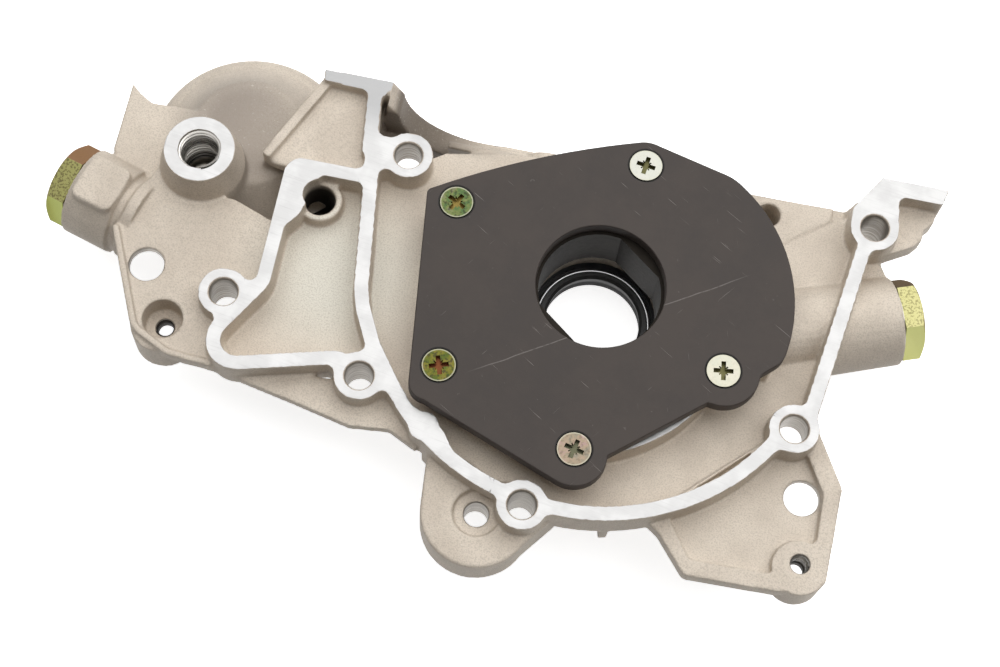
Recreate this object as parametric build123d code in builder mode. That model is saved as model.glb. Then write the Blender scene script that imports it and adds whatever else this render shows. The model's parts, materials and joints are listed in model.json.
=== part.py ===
from build123d import *
from math import acos, atan2, cos, degrees, pi, radians, sin, sqrt, tan
import os

os.makedirs("parts", exist_ok=True)

# Crank-driven oil pump of a car engine, an aluminium die casting with a crescent gear set.
# The crank axis is Z. The block gasket face is Z = 0 and +Z points at the engine block.
# +X runs along the oil pan edge, and +Y points down at the oil pan. Sizes are in millimetres.

# Gasket rail and floor of the casting, depths measured from the gasket face
floor_depth = 9.5
floor_wall = 3.5
rail_width = 5.0
rail_radius = 75.0
rail_fillet = 2.4
rib_angles = (234.0, 252.0, 282.0, 304.0)
rib_wall = 3.0
rib_depth = 8.0
floor_step = 0.6
through_cut = 60.0
drill_past = 1.0
pan_face = 60.7
pan_bar = 4.3
pan_front_depth = 40.0
pan_front_wall = 8.0
pan_rail = 9.0
pan_screw = 5.0
pan_screw_depth = 7.5
pan_screw_places = (-5.0, 61.0)

# Bolts that hold the pump on the block
bolt_hole = 9.0
bolt_boss = 16.6
bolt_boss_depth = 17.2
bolt_lug_depth = 22.0
boss_step = 0.5
bolt_chamfer = 0.8
bolt_pan_left = (-71.4, 35.1)
bolt_pan_right = (86.2, 41.9)
bolt_left_inner = (-70.7, -44.5)
bolt_left_outer = (-120.0, -25.4)
bolt_bottom = (-11.3, -75.9)
bolt_right = (69.7, -33.4)

# Gear set: a pinion on the crank turns inside a ring gear, with a crescent between them
module = 2.5
pinion_teeth = 23
ring_teeth = 29
pressure_angle = 25.0
addendum = 0.95
dedendum = 1.2
backlash = 0.5
gear_width = 20.0
side_gap = 0.05
ring_rim = 3.75
ring_gap = 0.08
crescent_gap = 0.3
crescent_half_angle = 58.0
eccentric_angle = 220.0
crank_bore = 40.4
crank_flats = 36.0
flats_angle = 52.5

# Gear chamber and the cover that closes it
land_height = 0.5
chamber_wall = 9.4
chamber_floor = 7.0
port_depth = 4.0
pocket_width = 11.0
pocket_angle = 4.0
pocket_wall = 4.0
cover_thickness = 5.0
cover_hole = 42.5
cover_ear = 12.0
lobe_centre = (7.0, -1.0)
lobe_radius = 56.7
lobe_inset = 2.5
lobe_start_fillet = 16.0
lobe_end_fillet = 9.0
cover_fillet = 2.0

# Countersunk cover screws, on a circle about the ring gear
screw_angles = (152.4, 75.6, 219.2, 277.9, 342.2)
screw_margin = 8.9
screw_thread = 6.0
screw_head = 10.9
screw_recess = 12.0
screw_length = 16.0
screw_gap = 0.25

# Crank seal, pressed in from the front
seal_shaft = 32.0
seal_outer = 47.0
seal_width = 10.0
seal_wall = 5.5
seal_sheet = 1.2
seal_rubber = 1.6
seal_band = 0.8
garter_wire = 1.3
fit_gap = 0.05

# Pressure relief valve, across the casting on the right
relief_angle = 20.0
relief_depth = 18.5
relief_end = (99.2, 17.7)
relief_boss = 30.0
relief_bore = 15.0
relief_reach = 45.0
piston_gap = 0.04
piston_length = 18.0
piston_wall = 1.6
piston_crown = 3.0
piston_lift = 6.0
relief_feed = 9.0
spill_bore = 8.0
spill_wall = 3.5
spill_mouth = (51.4, 43.2)
relief_coil_wire = 1.4
relief_coil_turns = 7

# Threaded hexagon plugs and their sealing washers
plug_thread = 20.0
plug_hex = 25.0
plug_head = 7.0
plug_chamfer = 1.3
plug_shank = 13.0
plug_wall = 3.2
relief_plug_turn = 0.0
gallery_plug_turn = 42.4
washer_outer = 26.0
washer_thickness = 1.5
spot_depth = 1.0

# Gallery plug boss on the left
gallery_angle = 163.5
gallery_depth = 19.0
gallery_end = (-178.0, 7.6)
gallery_boss = 30.4
gallery_boss_length = 17.0
gallery_neck = 27.4
gallery_collar = 29.6
gallery_collar_start = 20.0
gallery_collar_end = 24.0
gallery_tunnel = 15.6
gallery_bore = 11.0
gallery_reach = 62.0
gallery_pad_length = 15.0
gallery_pad_width = 17.0
gallery_pad_height = 1.0
gallery_pad_inset = 1.5

# Oil filter seat, a bowl on the front of the casting
filter_centre = (-128.0, 38.0)
filter_radius = 35.0
filter_seat_depth = 36.0
bowl_crown_depth = 13.0
bowl_crown_radius = 19.0
bowl_shoulder_depth = 27.0
annulus_depth = 10.0
annulus_outer = 29.0
nipple_boss = 23.0
nipple_thread = 19.0
nipple_bore = 12.0
nipple_stick_out = 11.0
nipple_engagement = 8.0
nipple_step = 0.5
nipple_undercut = 0.4

# Filter bypass valve in the roof of the bowl
bypass_bore = 10.0
bypass_circle = 17.0
bypass_angle = 60.0
bypass_seat_wall = 2.0
bypass_seat_hole = 6.0
bypass_disc_thickness = 1.2
bypass_disc_gap = 0.4
bypass_lift = 3.0
bypass_coil_wire = 0.8
bypass_coil_turns = 3

# Suction tunnel from the oil pan, under the suction port
intake_x = -25.0
intake_depth = 25.5
intake_bore = 12.0
intake_wall = 4.0
intake_set_back = 7.0
intake_end = 18.0
intake_flange = 7.0
intake_ear = 17.0
intake_screw = 6.0
intake_pocket_gap = 1.0

# Outlet from the middle of the filter seat: a cross drilling, and a rise into the cavity on the left
outlet_centre = (-97.4, 15.0)
outlet_lip_depth = 5.0
outlet_bore = 10.6
outlet_wall = 2.4
outlet_cross = 9.0
outlet_cross_depth = 22.5

# Oil pressure switch port
switch_centre = (-139.2, 20.9)
switch_height = 4.0
switch_boss = 23.6
switch_thread = 14.0
switch_draft = 2.5
switch_reach = 22.0
switch_feed = 4.0

# Outer flanges, lugs and brackets
flange_depth = 7.0
flange_wall = 3.5
flange_rim = 1.6
flange_rim_width = 2.2
flange_hole = 11.5
flange_hole_centre = (-148.2, -18.7)
flange_screw = 6.0
flange_screw_centre = (-138.4, -36.2)
flange_screw_recess = 13.2
flange_screw_depth = 8.6
flange_screw_boss = 20.4
flange_screw_reach = 15.0
foot_centre = (-25.0, -79.5)
foot_radius = 18.0
foot_depth = 6.7
foot_wall = 14.3
foot_hole = 8.0
foot_recess = 15.2
foot_recess_depth = 2.2
tab_depth = 9.5
tab_wall = 3.0
tab_rim = 3.0
tab_hole = 11.5
tab_hole_centre = (76.5, -52.9)
tab_screw = 6.2
tab_screw_centre = (78.7, -75.2)
tab_screw_boss = 18.0
tab_screw_reach = 10.5
boss_shift = 1.3
web_depth = 4.5
web_wall = 5.0
web_bar = 3.4
web_bar_height = 2.4
wing_depth = 12.0
wing_wall = 4.0
lug_depth = 7.0
lug_wall = 7.5


def polar(radius, angle, centre=(0, 0)):
    """Point at a radius and an angle in degrees about a centre."""
    return (centre[0] + radius * cos(radians(angle)), centre[1] + radius * sin(radians(angle)))


def beside(point, dx, dy):
    """Point at an offset from another point."""
    return (point[0] + dx, point[1] + dy)


def finish(piece, name):
    """Label a finished piece and write it to its file."""
    piece.part.label = name
    export_step(piece.part, f"parts/{name}.step")


# Worked-out gear sizes and places
eccentricity = module * (ring_teeth - pinion_teeth) / 2
ring_centre = polar(eccentricity, eccentric_angle)
mesh_angle = eccentric_angle + 180
pinion_pitch = module * pinion_teeth / 2
ring_pitch = module * ring_teeth / 2
pinion_tip = pinion_pitch + addendum * module
pinion_root = pinion_pitch - dedendum * module
ring_tip = ring_pitch - addendum * module
ring_root = ring_pitch + dedendum * module
ring_outer = ring_root + ring_rim
chamber_radius = ring_outer + ring_gap
boss_radius = chamber_radius + chamber_wall
gear_top = land_height - side_gap
gear_bottom = gear_top - gear_width
chamber_bottom = gear_bottom - side_gap
boss_bottom = chamber_bottom - chamber_floor
seal_back = boss_bottom - land_height
seal_front = seal_back - seal_width
cover_top = land_height + cover_thickness
screw_circle = chamber_radius + screw_margin
screws = [polar(screw_circle, angle, ring_centre) for angle in screw_angles]
bolts = (bolt_pan_left, bolt_pan_right, bolt_left_inner, bolt_left_outer, bolt_bottom, bolt_right)
floor_bottom = -floor_depth - floor_wall

# Planes of the two plug bosses and the two valves, each with its Z along the piece's own axis
relief_out = (cos(radians(relief_angle)), sin(radians(relief_angle)), 0)
relief_plane = Plane(
    origin=(*relief_end, -relief_depth), x_dir=(relief_out[1], -relief_out[0], 0), z_dir=relief_out
)
gallery_out = (cos(radians(gallery_angle)), sin(radians(gallery_angle)), 0)
gallery_plane = Plane(
    origin=(*gallery_end, -gallery_depth), x_dir=(-gallery_out[1], gallery_out[0], 0), z_dir=gallery_out
)
relief_spill = relief_plane.offset(-relief_reach + piston_lift).origin
spill_start = Vector(*spill_mouth, -relief_depth)
spill_run = relief_spill - spill_start
spill_plane = Plane(origin=spill_start, z_dir=spill_run)
pocket_centre = polar(chamber_radius + pocket_wall + pocket_width / 2, pocket_angle, ring_centre)
relief_feed_run = -relief_reach - relief_plane.to_local_coords(Vector(*pocket_centre, -relief_depth)).Z

# Cross drilling of the outlet, from the middle of the filter seat to the rise
outlet_run = Vector(*outlet_centre) - Vector(*filter_centre)
outlet_plane = Plane(origin=(*filter_centre, -outlet_cross_depth), z_dir=outlet_run)
outlet_boss_depth = outlet_cross_depth + outlet_cross / 2 + drill_past + outlet_wall

# Bypass valve, with room above its disc for the lift and the closed spring
bypass_spring_start = bypass_seat_wall + bypass_disc_thickness
bypass_depth = bypass_spring_start + bypass_lift + (bypass_coil_turns + 0.5) * bypass_coil_wire
bypass_roof = -filter_seat_depth + annulus_depth
bypass_plane = Plane(origin=(*polar(bypass_circle, bypass_angle, filter_centre), bypass_roof))


def flank_angle(radius, teeth, half_thickness):
    """Half the angle that an involute tooth takes up at a radius."""
    pitch_radius = module * teeth / 2
    base_radius = pitch_radius * cos(radians(pressure_angle))
    turn = acos(min(1.0, base_radius / radius))
    start = tan(radians(pressure_angle)) - radians(pressure_angle)
    return half_thickness / pitch_radius + start - (tan(turn) - turn)


def tooth_sketch(teeth, low_radius, high_radius, half_thickness):
    """One tooth along +X with involute flanks, from a low to a high radius."""
    base_radius = module * teeth / 2 * cos(radians(pressure_angle))
    flank_low = max(base_radius, low_radius)
    radii = (flank_low, (flank_low + high_radius) / 2, high_radius)
    half = [flank_angle(radius, teeth, half_thickness) * 180 / pi for radius in radii]
    upper = [polar(radius, angle) for radius, angle in zip(radii, half)]
    lower = [polar(radius, -angle) for radius, angle in zip(radii, half)]
    foot = low_radius - 0.4 * module
    with BuildSketch() as tooth:
        with BuildLine():
            Line(polar(foot, -half[0]), lower[0])
            ThreePointArc(*lower)
            Line(lower[2], upper[2])
            ThreePointArc(*reversed(upper))
            Line(upper[0], polar(foot, half[0]))
            Line(polar(foot, half[0]), polar(foot, -half[0]))
        make_face()
    return tooth.sketch


def wedge(radius, start, end):
    """Pie-shaped piece of a disc about the crank axis, from one angle to another."""
    with BuildSketch() as piece:
        with BuildLine():
            Line((0, 0), polar(radius, start))
            ThreePointArc(polar(radius, start), polar(radius, (start + end) / 2), polar(radius, end))
            Line(polar(radius, end), (0, 0))
        make_face()
    return piece.sketch


def spring(plane, radius, wire, turns, length):
    """Coil spring along a plane's Z, from the plane to a length above it."""
    rise = length - wire
    with BuildPart() as coil:
        with BuildLine(plane.offset(wire / 2)) as helix:
            Helix(pitch=rise / turns, height=rise, radius=radius, direction=plane.z_dir)
        with BuildSketch(Plane(origin=helix.line @ 0, z_dir=helix.line % 0)):
            Circle(wire / 2)
        sweep(is_frenet=True)
    return coil


# Cover outline: ears round the screws, straight edges, and a lobe over the delivery port
screw_left_top, screw_top, screw_left_low, screw_low, screw_right = screws
with BuildSketch() as cover_outline:
    with BuildLine():
        left_top = beside(screw_left_top, -10.4, 2.6)
        top_start = beside(screw_top, -3.2, 8.2)
        top_end = beside(screw_top, 3.0, 8.2)
        lobe_start = polar(lobe_radius, 58.5, lobe_centre)
        lobe_end = polar(lobe_radius, -13.0, lobe_centre)
        right_start = polar(cover_ear, 5.0, screw_right)
        right_end = polar(cover_ear, -105.0, screw_right)
        low_start = polar(cover_ear - 1.2, 0.0, screw_low)
        low_end = polar(cover_ear, -109.0, screw_low)
        left_low_start = beside(screw_left_low, -2.6, -12.4)
        left_low_end = beside(screw_left_low, -8.4, -7.0)
        top_middle = ((left_top[0] + top_start[0]) / 2 - 1.0, (left_top[1] + top_start[1]) / 2 + 2.2)
        ThreePointArc(left_top, top_middle, top_start)
        ThreePointArc(top_start, beside(screw_top, 0, 8.7), top_end)
        Line(top_end, lobe_start)
        ThreePointArc(lobe_start, polar(lobe_radius, 20.0, lobe_centre), lobe_end)
        Line(lobe_end, right_start)
        ThreePointArc(right_start, polar(cover_ear, -50.0, screw_right), right_end)
        Line(right_end, low_start)
        ThreePointArc(low_start, polar(cover_ear, -55.0, screw_low), low_end)
        Line(low_end, left_low_start)
        ThreePointArc(left_low_start, beside(screw_left_low, -6.3, -11.0), left_low_end)
        Line(left_low_end, left_top)
    make_face()
    fillet(cover_outline.vertices().sort_by_distance(lobe_start)[0], lobe_start_fillet)
    fillet(cover_outline.vertices().sort_by_distance(lobe_end)[0], lobe_end_fillet)
    fillet(cover_outline.vertices().sort_by_distance(right_start)[0], cover_fillet)
    fillet(cover_outline.vertices().sort_by_distance(left_top)[0], cover_fillet)

# Gasket rail: bosses round the bolts, an arc below the gears, a bar on the right
# and a closed loop round the outlet cavity on the left
loop_top = 24.4
loop_left = -108.2
loop_path = (
    (-81.9, loop_top),
    (loop_left, loop_top),
    (loop_left, -19.3),
    (-128.2, -53.3),
    (-78.5, -39.8),
    bolt_left_inner,
)
loop_radii = (3.6, 10.0, 7.9, 4.0)
cavity_path = (
    (-83.6, 34.0),
    (-81.9, loop_top),
    (-76.6, -14.6),
    (-74.6, -21.3),
    (-68.8, -33.0),
    polar(rail_radius, 217.0),
)
cavity_bend = 14.0
stem_path = ((-87.6, pan_face - pan_bar / 2), (-84.6, 33.5))
right_path = ((73.9, -29.0), (84.8, 41.9))
with BuildSketch() as rail_sketch:
    with BuildLine():
        FilletPolyline(*loop_path, radius=loop_radii)
    trace(line_width=rail_width)
    with BuildLine():
        FilletPolyline(*cavity_path, radius=cavity_bend)
    trace(line_width=rail_width)
    with BuildLine():
        Polyline(*stem_path)
    trace(line_width=rail_width)
    with BuildLine():
        Polyline(*right_path)
    trace(line_width=rail_width)
    with BuildLine():
        CenterArc((0, 0), rail_radius, 216.0, 116.0)
    trace(line_width=rail_width)
    with Locations(*bolts):
        Circle(bolt_boss / 2)
    # Web between the stem and its bolt boss, the corner pad of the outlet drilling,
    # and a thicker lobe in the arc
    with BuildLine():
        Polyline((-85.0, 29.0), (-71.0, 29.0), (-71.0, 40.5), (-85.5, 40.5), close=True)
    make_face()
    with BuildLine():
        Polyline(
            (loop_left, loop_top), (-98.2, 22.5), (-102.0, 6.5), (-105.6, 1.5), (loop_left, 1.0), close=True
        )
    make_face()
    with Locations((-47.0, -56.8)):
        Circle(5.0)
    # Ends of the oil pan bars
    with BuildLine():
        Polyline(
            (-105.8, pan_face),
            (-81.6, pan_face),
            (-83.5, pan_face - pan_bar - 1),
            (-105.0, pan_face - pan_bar),
            close=True,
        )
    make_face()
    with BuildLine():
        Polyline(
            beside(bolt_pan_right, -8.2, 0),
            (78.0, pan_face),
            (109.2, pan_face),
            (107.7, pan_face - pan_bar - 1.4),
            (93.0, pan_face - pan_bar - 1.4),
            beside(bolt_pan_right, 8.2, 0),
            close=True,
        )
    make_face()
    # Rounded corners where rails and bosses meet
    offset(amount=rail_fillet)
    offset(amount=-rail_fillet)

# Inside floors of the casting, up to the middle of the rail
with BuildSketch() as floor_sketch:
    with BuildLine():
        Polyline((-83.6, 34.0), *cavity_path[1:])
        ThreePointArc(
            polar(rail_radius, 217.0), polar(rail_radius, 270.0), polar(rail_radius, 331.0)
        )
        Polyline(
            polar(rail_radius, 331.0),
            bolt_right,
            right_path[0],
            right_path[1],
            (84.8, pan_face - 10.2),
            (-36.0, pan_face - 12.7),
            (-60.0, 43.0),
            bolt_pan_left,
            (-83.6, 34.0),
        )
    make_face()
    with BuildLine():
        FilletPolyline(*loop_path, radius=loop_radii)
        Polyline(bolt_left_inner, *reversed(cavity_path[1:5]))
    make_face()

# Outer edge of the left flange, which carries a rim
flange_edge = ((-162.6, -8.0), (-147.4, -42.0), (-134.0, -48.6), (-119.0, -49.6))
flange_bend = 9.0

# Land under the cover: a wall round the gears, bosses for the screws and the lobe's wall
with BuildSketch() as lobe_sketch:
    with Locations(lobe_centre):
        Circle(lobe_radius - lobe_inset)
    with Locations((lobe_centre[0] + 48.0, lobe_centre[1] + 17.0)):
        Rectangle(50.0, 64.0, mode=Mode.INTERSECT)
with BuildSketch() as land_sketch:
    with Locations(ring_centre):
        Circle(boss_radius)
    with Locations(*screws):
        Circle(screw_recess / 2 + 2.5)
    add(lobe_sketch.sketch)

with BuildSketch() as crescent_sketch:
    with Locations(ring_centre):
        Circle(ring_tip - crescent_gap)
    Circle(pinion_tip + crescent_gap, mode=Mode.SUBTRACT)
    add(
        wedge(2 * ring_outer, eccentric_angle - crescent_half_angle, eccentric_angle + crescent_half_angle),
        mode=Mode.INTERSECT,
    )


def port_sketch(start, end):
    """Kidney port in the chamber floor between two angles."""
    with BuildSketch() as port:
        with Locations(ring_centre):
            Circle(ring_root)
        Circle(pinion_root, mode=Mode.SUBTRACT)
        add(wedge(2 * ring_outer, start, end), mode=Mode.INTERSECT)
    return port.sketch


suction_port = port_sketch(mesh_angle + 35, mesh_angle + 130)
delivery_port = port_sketch(mesh_angle - 130, mesh_angle - 35)

with BuildPart() as pump_housing:
    # Rail walls and floors
    with BuildSketch(Plane.XY.offset(floor_bottom)):
        add(rail_sketch.sketch)
    extrude(amount=-floor_bottom)
    with BuildSketch(Plane.XY.offset(floor_bottom)):
        add(floor_sketch.sketch)
    extrude(amount=floor_wall)
    with BuildSketch(Plane.XY.offset(-bolt_boss_depth)):
        with Locations(bolt_left_inner, bolt_left_outer, bolt_bottom):
            Circle(bolt_boss / 2 - boss_step)
    extrude(amount=bolt_boss_depth - floor_depth)
    with BuildSketch(Plane.XY.offset(-bolt_lug_depth)):
        with Locations(bolt_pan_right):
            Circle(bolt_boss / 2 - boss_step)
    extrude(amount=bolt_lug_depth - floor_depth)
    # Ribs on the front between the gear chamber and the rail, and a low step in the right floor
    with BuildSketch(Plane.XY.offset(floor_bottom - rib_depth)):
        for angle in rib_angles:
            with Locations(polar((boss_radius + rail_radius) / 2, angle)):
                Rectangle(rail_radius - boss_radius + rail_width, rib_wall, rotation=angle)
    extrude(amount=rib_depth)
    with BuildSketch(Plane.XY.offset(-floor_depth)):
        with BuildLine():
            Polyline((48.0, 26.6), (57.8, 34.2), (74.5, 47.2), (76.0, 49.8), (44.0, 49.0), close=True)
        make_face()
    extrude(amount=floor_step)
    # Gear chamber wall and the seal housing in front of it
    with BuildSketch(Plane.XY.offset(boss_bottom)):
        add(land_sketch.sketch)
    extrude(amount=land_height - boss_bottom)
    with BuildSketch(Plane.XY.offset(seal_front)):
        Circle(seal_outer / 2 + seal_wall)
    extrude(amount=boss_bottom - seal_front)
    # Oil filter bowl
    with BuildSketch(Plane(origin=(*filter_centre, 0), x_dir=(1, 0, 0), z_dir=(0, -1, 0))):
        with BuildLine():
            Polyline(
                (0, -filter_seat_depth),
                (filter_radius, -filter_seat_depth),
                (filter_radius, -bowl_shoulder_depth - 1.5),
            )
            RadiusArc(
                (filter_radius, -bowl_shoulder_depth - 1.5),
                (filter_radius - 5.5, -bowl_shoulder_depth + 4.6),
                -7.0,
            )
            Polyline(
                (filter_radius - 5.5, -bowl_shoulder_depth + 4.6),
                (bowl_crown_radius, -bowl_crown_depth),
                (0, -bowl_crown_depth),
                (0, -filter_seat_depth),
            )
        make_face()
    revolve(axis=Axis((*filter_centre, 0), (0, 0, 1)))
    # Wing beside the bowl, and the web between the bowl and the pan bar
    with BuildSketch(Plane.XY.offset(-wing_depth - wing_wall)):
        with BuildLine():
            Polyline(
                (-171.0, 22.0),
                (-170.8, 47.3),
                (-167.3, 44.2),
                (-162.5, 41.4),
                (-144.0, 42.4),
                switch_centre,
                (-139.0, -10.0),
                (-150.0, -10.0),
                close=True,
            )
        make_face()
    extrude(amount=wing_wall)
    with BuildSketch(Plane.XY.offset(-web_depth - web_wall)):
        with BuildLine():
            Polyline(
                (-104.8, pan_face - 1),
                (-87.6, pan_face - 1),
                (-84.6, loop_top),
                (-116.0, loop_top),
                (-117.5, 27.0),
                close=True,
            )
        make_face()
    extrude(amount=web_wall)
    with BuildSketch(Plane.XY.offset(-wing_depth - wing_wall)):
        with BuildLine():
            Line((-103.6, pan_face - 2), (-118.6, 26.0))
        trace(line_width=web_bar)
    extrude(amount=wing_depth + wing_wall - web_depth + web_bar_height)
    # Left flange with its rim, and its lower strip under the rail
    with BuildSketch(Plane.XY.offset(-flange_depth - flange_wall)):
        with BuildLine():
            FilletPolyline(*flange_edge, radius=flange_bend)
            Polyline(
                flange_edge[-1],
                (-91.0, -55.2),
                (-71.0, -59.6),
                (-57.5, -58.3),
                bolt_left_inner,
                (-112.0, -47.0),
                (-119.0, -36.0),
                (loop_left, -15.0),
                (loop_left, 4.0),
                (-125.5, 10.2),
                (-137.8, 11.3),
                (-153.0, 17.0),
                flange_edge[0],
            )
        make_face()
    extrude(amount=flange_wall)
    with BuildSketch(Plane.XY.offset(-flange_depth - flange_wall)):
        with BuildLine():
            FilletPolyline(*flange_edge, radius=flange_bend)
            offset(amount=flange_rim_width / 2, side=Side.LEFT, closed=False, mode=Mode.REPLACE)
        trace(line_width=flange_rim_width)
    extrude(amount=flange_wall + flange_rim)
    with BuildSketch(Plane.XY.offset(-flange_depth - flange_screw_reach)):
        with Locations(beside(flange_screw_centre, 0, -boss_shift)):
            Circle(flange_screw_boss / 2)
    extrude(amount=flange_screw_reach)
    # Foot at the bottom and bracket tab on the right
    with BuildSketch(Plane.XY.offset(-foot_depth - foot_wall)):
        with Locations(foot_centre):
            Circle(foot_radius)
        with BuildLine():
            Polyline(
                polar(foot_radius, 185.0, foot_centre),
                (-44.5, -62.0),
                beside(bolt_bottom, 12.0, 1.0),
                polar(foot_radius, -50.0, foot_centre),
                close=True,
            )
        make_face()
    extrude(amount=foot_wall)
    with BuildSketch(Plane.XY.offset(-tab_depth - tab_wall)) as tab_sketch:
        with BuildLine():
            FilletPolyline(
                (27.0, -70.5),
                (33.0, -74.6),
                (43.0, -86.4),
                (73.0, -85.6),
                (87.6, -80.6),
                (88.6, -48.0),
                (76.0, -26.0),
                (66.0, -33.0),
                close=True,
                radius=3.0,
            )
        make_face()
    extrude(amount=tab_wall)
    with BuildSketch(Plane.XY.offset(-tab_depth)):
        add(tab_sketch.sketch.moved(Location((0, 0, tab_depth + tab_wall))))
        with BuildLine():
            FilletPolyline(
                (33.6, -66.0),
                (43.8, -80.7),
                (71.6, -80.0),
                (71.9, -73.0),
                (75.5, -69.0),
                (82.8, -67.6),
                (82.8, -51.0),
                (73.0, -34.0),
                (60.0, -40.0),
                close=True,
                radius=2.4,
            )
        make_face(mode=Mode.SUBTRACT)
    extrude(amount=tab_rim)
    with BuildSketch(Plane.XY.offset(-tab_depth - tab_screw_reach)):
        with Locations(beside(tab_screw_centre, 0, -boss_shift)):
            Circle(tab_screw_boss / 2)
    extrude(amount=tab_screw_reach + tab_rim)
    # Lug below the right pan bar
    with BuildSketch(Plane.XY.offset(-lug_depth - lug_wall)):
        with BuildLine():
            Polyline(
                (82.0, 34.0),
                (89.5, 34.2),
                (101.0, 41.0),
                (103.4, 44.0),
                (103.8, 47.6),
                (106.6, 51.0),
                (108.0, pan_face),
                (82.0, pan_face),
                close=True,
            )
        make_face()
    extrude(amount=lug_wall)
    # Deep wall that swings from the left pan bar to the front pan rail
    with BuildSketch(Plane.XZ.offset(-pan_face)):
        with BuildLine():
            Line((-82.0, 0), (-84.0, -14.0))
            ThreePointArc((-84.0, -14.0), (-70.0, -36.0), (-40.0, -pan_front_depth))
            Polyline(
                (-40.0, -pan_front_depth),
                (86.0, -pan_front_depth),
                (92.0, -lug_depth - lug_wall),
                (84.0, -lug_depth - lug_wall),
                (80.0, -pan_front_depth + pan_front_wall),
                (-40.0, -pan_front_depth + pan_front_wall),
            )
            ThreePointArc((-40.0, -pan_front_depth + pan_front_wall), (-64.7, -29.0), (-78.0, -7.0))
            Line((-78.0, -7.0), (-82.0, 0))
        make_face()
    extrude(amount=pan_rail)
    with BuildSketch(Plane.YZ.offset(-60.0)):
        with BuildLine():
            Polyline(
                (pan_face - 15.0, -floor_depth - 1.5),
                (pan_face - 12.7, -floor_depth - 1.0),
                (pan_face - 3.0, -pan_front_depth + pan_front_wall),
                (pan_face - 8.5, -pan_front_depth + 1.5),
                close=True,
            )
        make_face()
    extrude(amount=143.0)
    # Bosses of the relief valve, the gallery and the pressure switch
    with BuildSketch(relief_plane):
        Circle(relief_boss / 2)
    extrude(amount=-(relief_reach + 10.0), taper=-1.2)
    with BuildSketch(gallery_plane):
        Circle(gallery_boss / 2)
    extrude(amount=-gallery_boss_length)
    with BuildSketch(gallery_plane):
        Circle(gallery_neck / 2)
    extrude(amount=-gallery_collar_end)
    with BuildSketch(gallery_plane.offset(-gallery_collar_start)):
        Circle(gallery_collar / 2)
    extrude(amount=gallery_collar_start - gallery_collar_end)
    with BuildSketch(gallery_plane):
        Circle(gallery_tunnel / 2)
    extrude(amount=-(gallery_reach + gallery_bore / 2))
    with BuildSketch(Plane.XY.offset(-gallery_depth)):
        with Locations(polar(-gallery_pad_inset - gallery_pad_length / 2, gallery_angle, gallery_end)):
            RectangleRounded(gallery_pad_length, gallery_pad_width, 3.0, rotation=gallery_angle)
    extrude(amount=gallery_boss / 2 + gallery_pad_height)
    # Outlet boss, spill passage of the relief valve and suction tunnel
    with BuildSketch(Plane.XY.offset(-outlet_boss_depth)):
        with Locations(outlet_centre):
            Circle(outlet_bore / 2 + outlet_wall)
    extrude(amount=outlet_boss_depth - outlet_lip_depth)
    with BuildSketch(outlet_plane):
        Circle(outlet_cross / 2 + outlet_wall)
    extrude(amount=outlet_run.length)
    with BuildSketch(spill_plane):
        Circle(spill_bore / 2 + spill_wall)
    extrude(amount=spill_run.length)
    with BuildSketch(Plane.XY.offset(-relief_depth - spill_bore / 2 - spill_wall)):
        with Locations(spill_mouth):
            Circle(spill_bore / 2 + spill_wall)
    extrude(amount=relief_depth + spill_bore / 2 + spill_wall - floor_depth - floor_wall / 2)
    with BuildSketch(Plane.XZ.offset(intake_set_back - pan_face)):
        with Locations((intake_x, -intake_depth)):
            Circle(intake_bore / 2 + intake_wall)
    extrude(amount=pan_face - intake_set_back - intake_end)
    with BuildSketch(Plane.XZ.offset(intake_set_back - pan_face)):
        with Locations((intake_x, -intake_depth)):
            SlotCenterToCenter(2 * intake_ear, 2 * intake_screw)
    extrude(amount=intake_flange)
    with BuildSketch(Plane.XY.offset(-switch_reach)):
        with Locations(switch_centre):
            Circle(switch_boss / 2 + switch_draft)
    extrude(amount=switch_reach - flange_depth)
    switch_rise = flange_depth + switch_height
    with BuildSketch(Plane.XY.offset(-flange_depth)):
        with Locations(switch_centre):
            Circle(switch_boss / 2 + switch_draft)
    extrude(amount=switch_rise, taper=degrees(atan2(switch_draft, switch_rise)))

    # Gear chamber with its crescent, kidney ports, crank bore and seal seat
    with BuildSketch(Plane.XY.offset(chamber_bottom)):
        with Locations(ring_centre):
            Circle(chamber_radius)
        add(crescent_sketch.sketch, mode=Mode.SUBTRACT)
    extrude(amount=land_height - chamber_bottom + 20.0, mode=Mode.SUBTRACT)
    with BuildSketch(Plane.XY.offset(chamber_bottom - port_depth)):
        add(suction_port)
        add(delivery_port)
        with BuildLine():
            Line(polar(ring_tip, pocket_angle, ring_centre), pocket_centre)
        trace(line_width=pocket_width)
    extrude(amount=port_depth, mode=Mode.SUBTRACT)
    with BuildSketch(Plane.XY.offset(chamber_bottom - port_depth)):
        with Locations(pocket_centre):
            Circle(pocket_width / 2)
    extrude(amount=land_height - chamber_bottom + port_depth, mode=Mode.SUBTRACT)
    with BuildSketch(Plane.XZ.offset(intake_set_back - pan_face)):
        with Locations((intake_x, -intake_depth)):
            Circle(intake_bore / 2)
    extrude(amount=pan_face - intake_set_back - intake_end - intake_wall, mode=Mode.SUBTRACT)
    with BuildSketch(Plane.XZ.offset(-pan_face)):
        with Locations((intake_x, -intake_depth)):
            SlotCenterToCenter(2 * intake_ear, 2 * (intake_screw + intake_pocket_gap))
    extrude(amount=intake_set_back, mode=Mode.SUBTRACT)
    with BuildSketch(Plane.XZ.offset(intake_set_back - pan_face)):
        with Locations((intake_x - intake_ear, -intake_depth), (intake_x + intake_ear, -intake_depth)):
            Circle(intake_screw / 2)
    extrude(amount=intake_flange, mode=Mode.SUBTRACT)
    with BuildSketch(Plane.XY.offset(seal_front)):
        Circle(cover_hole / 2)
    extrude(amount=-seal_front, mode=Mode.SUBTRACT)
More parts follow.
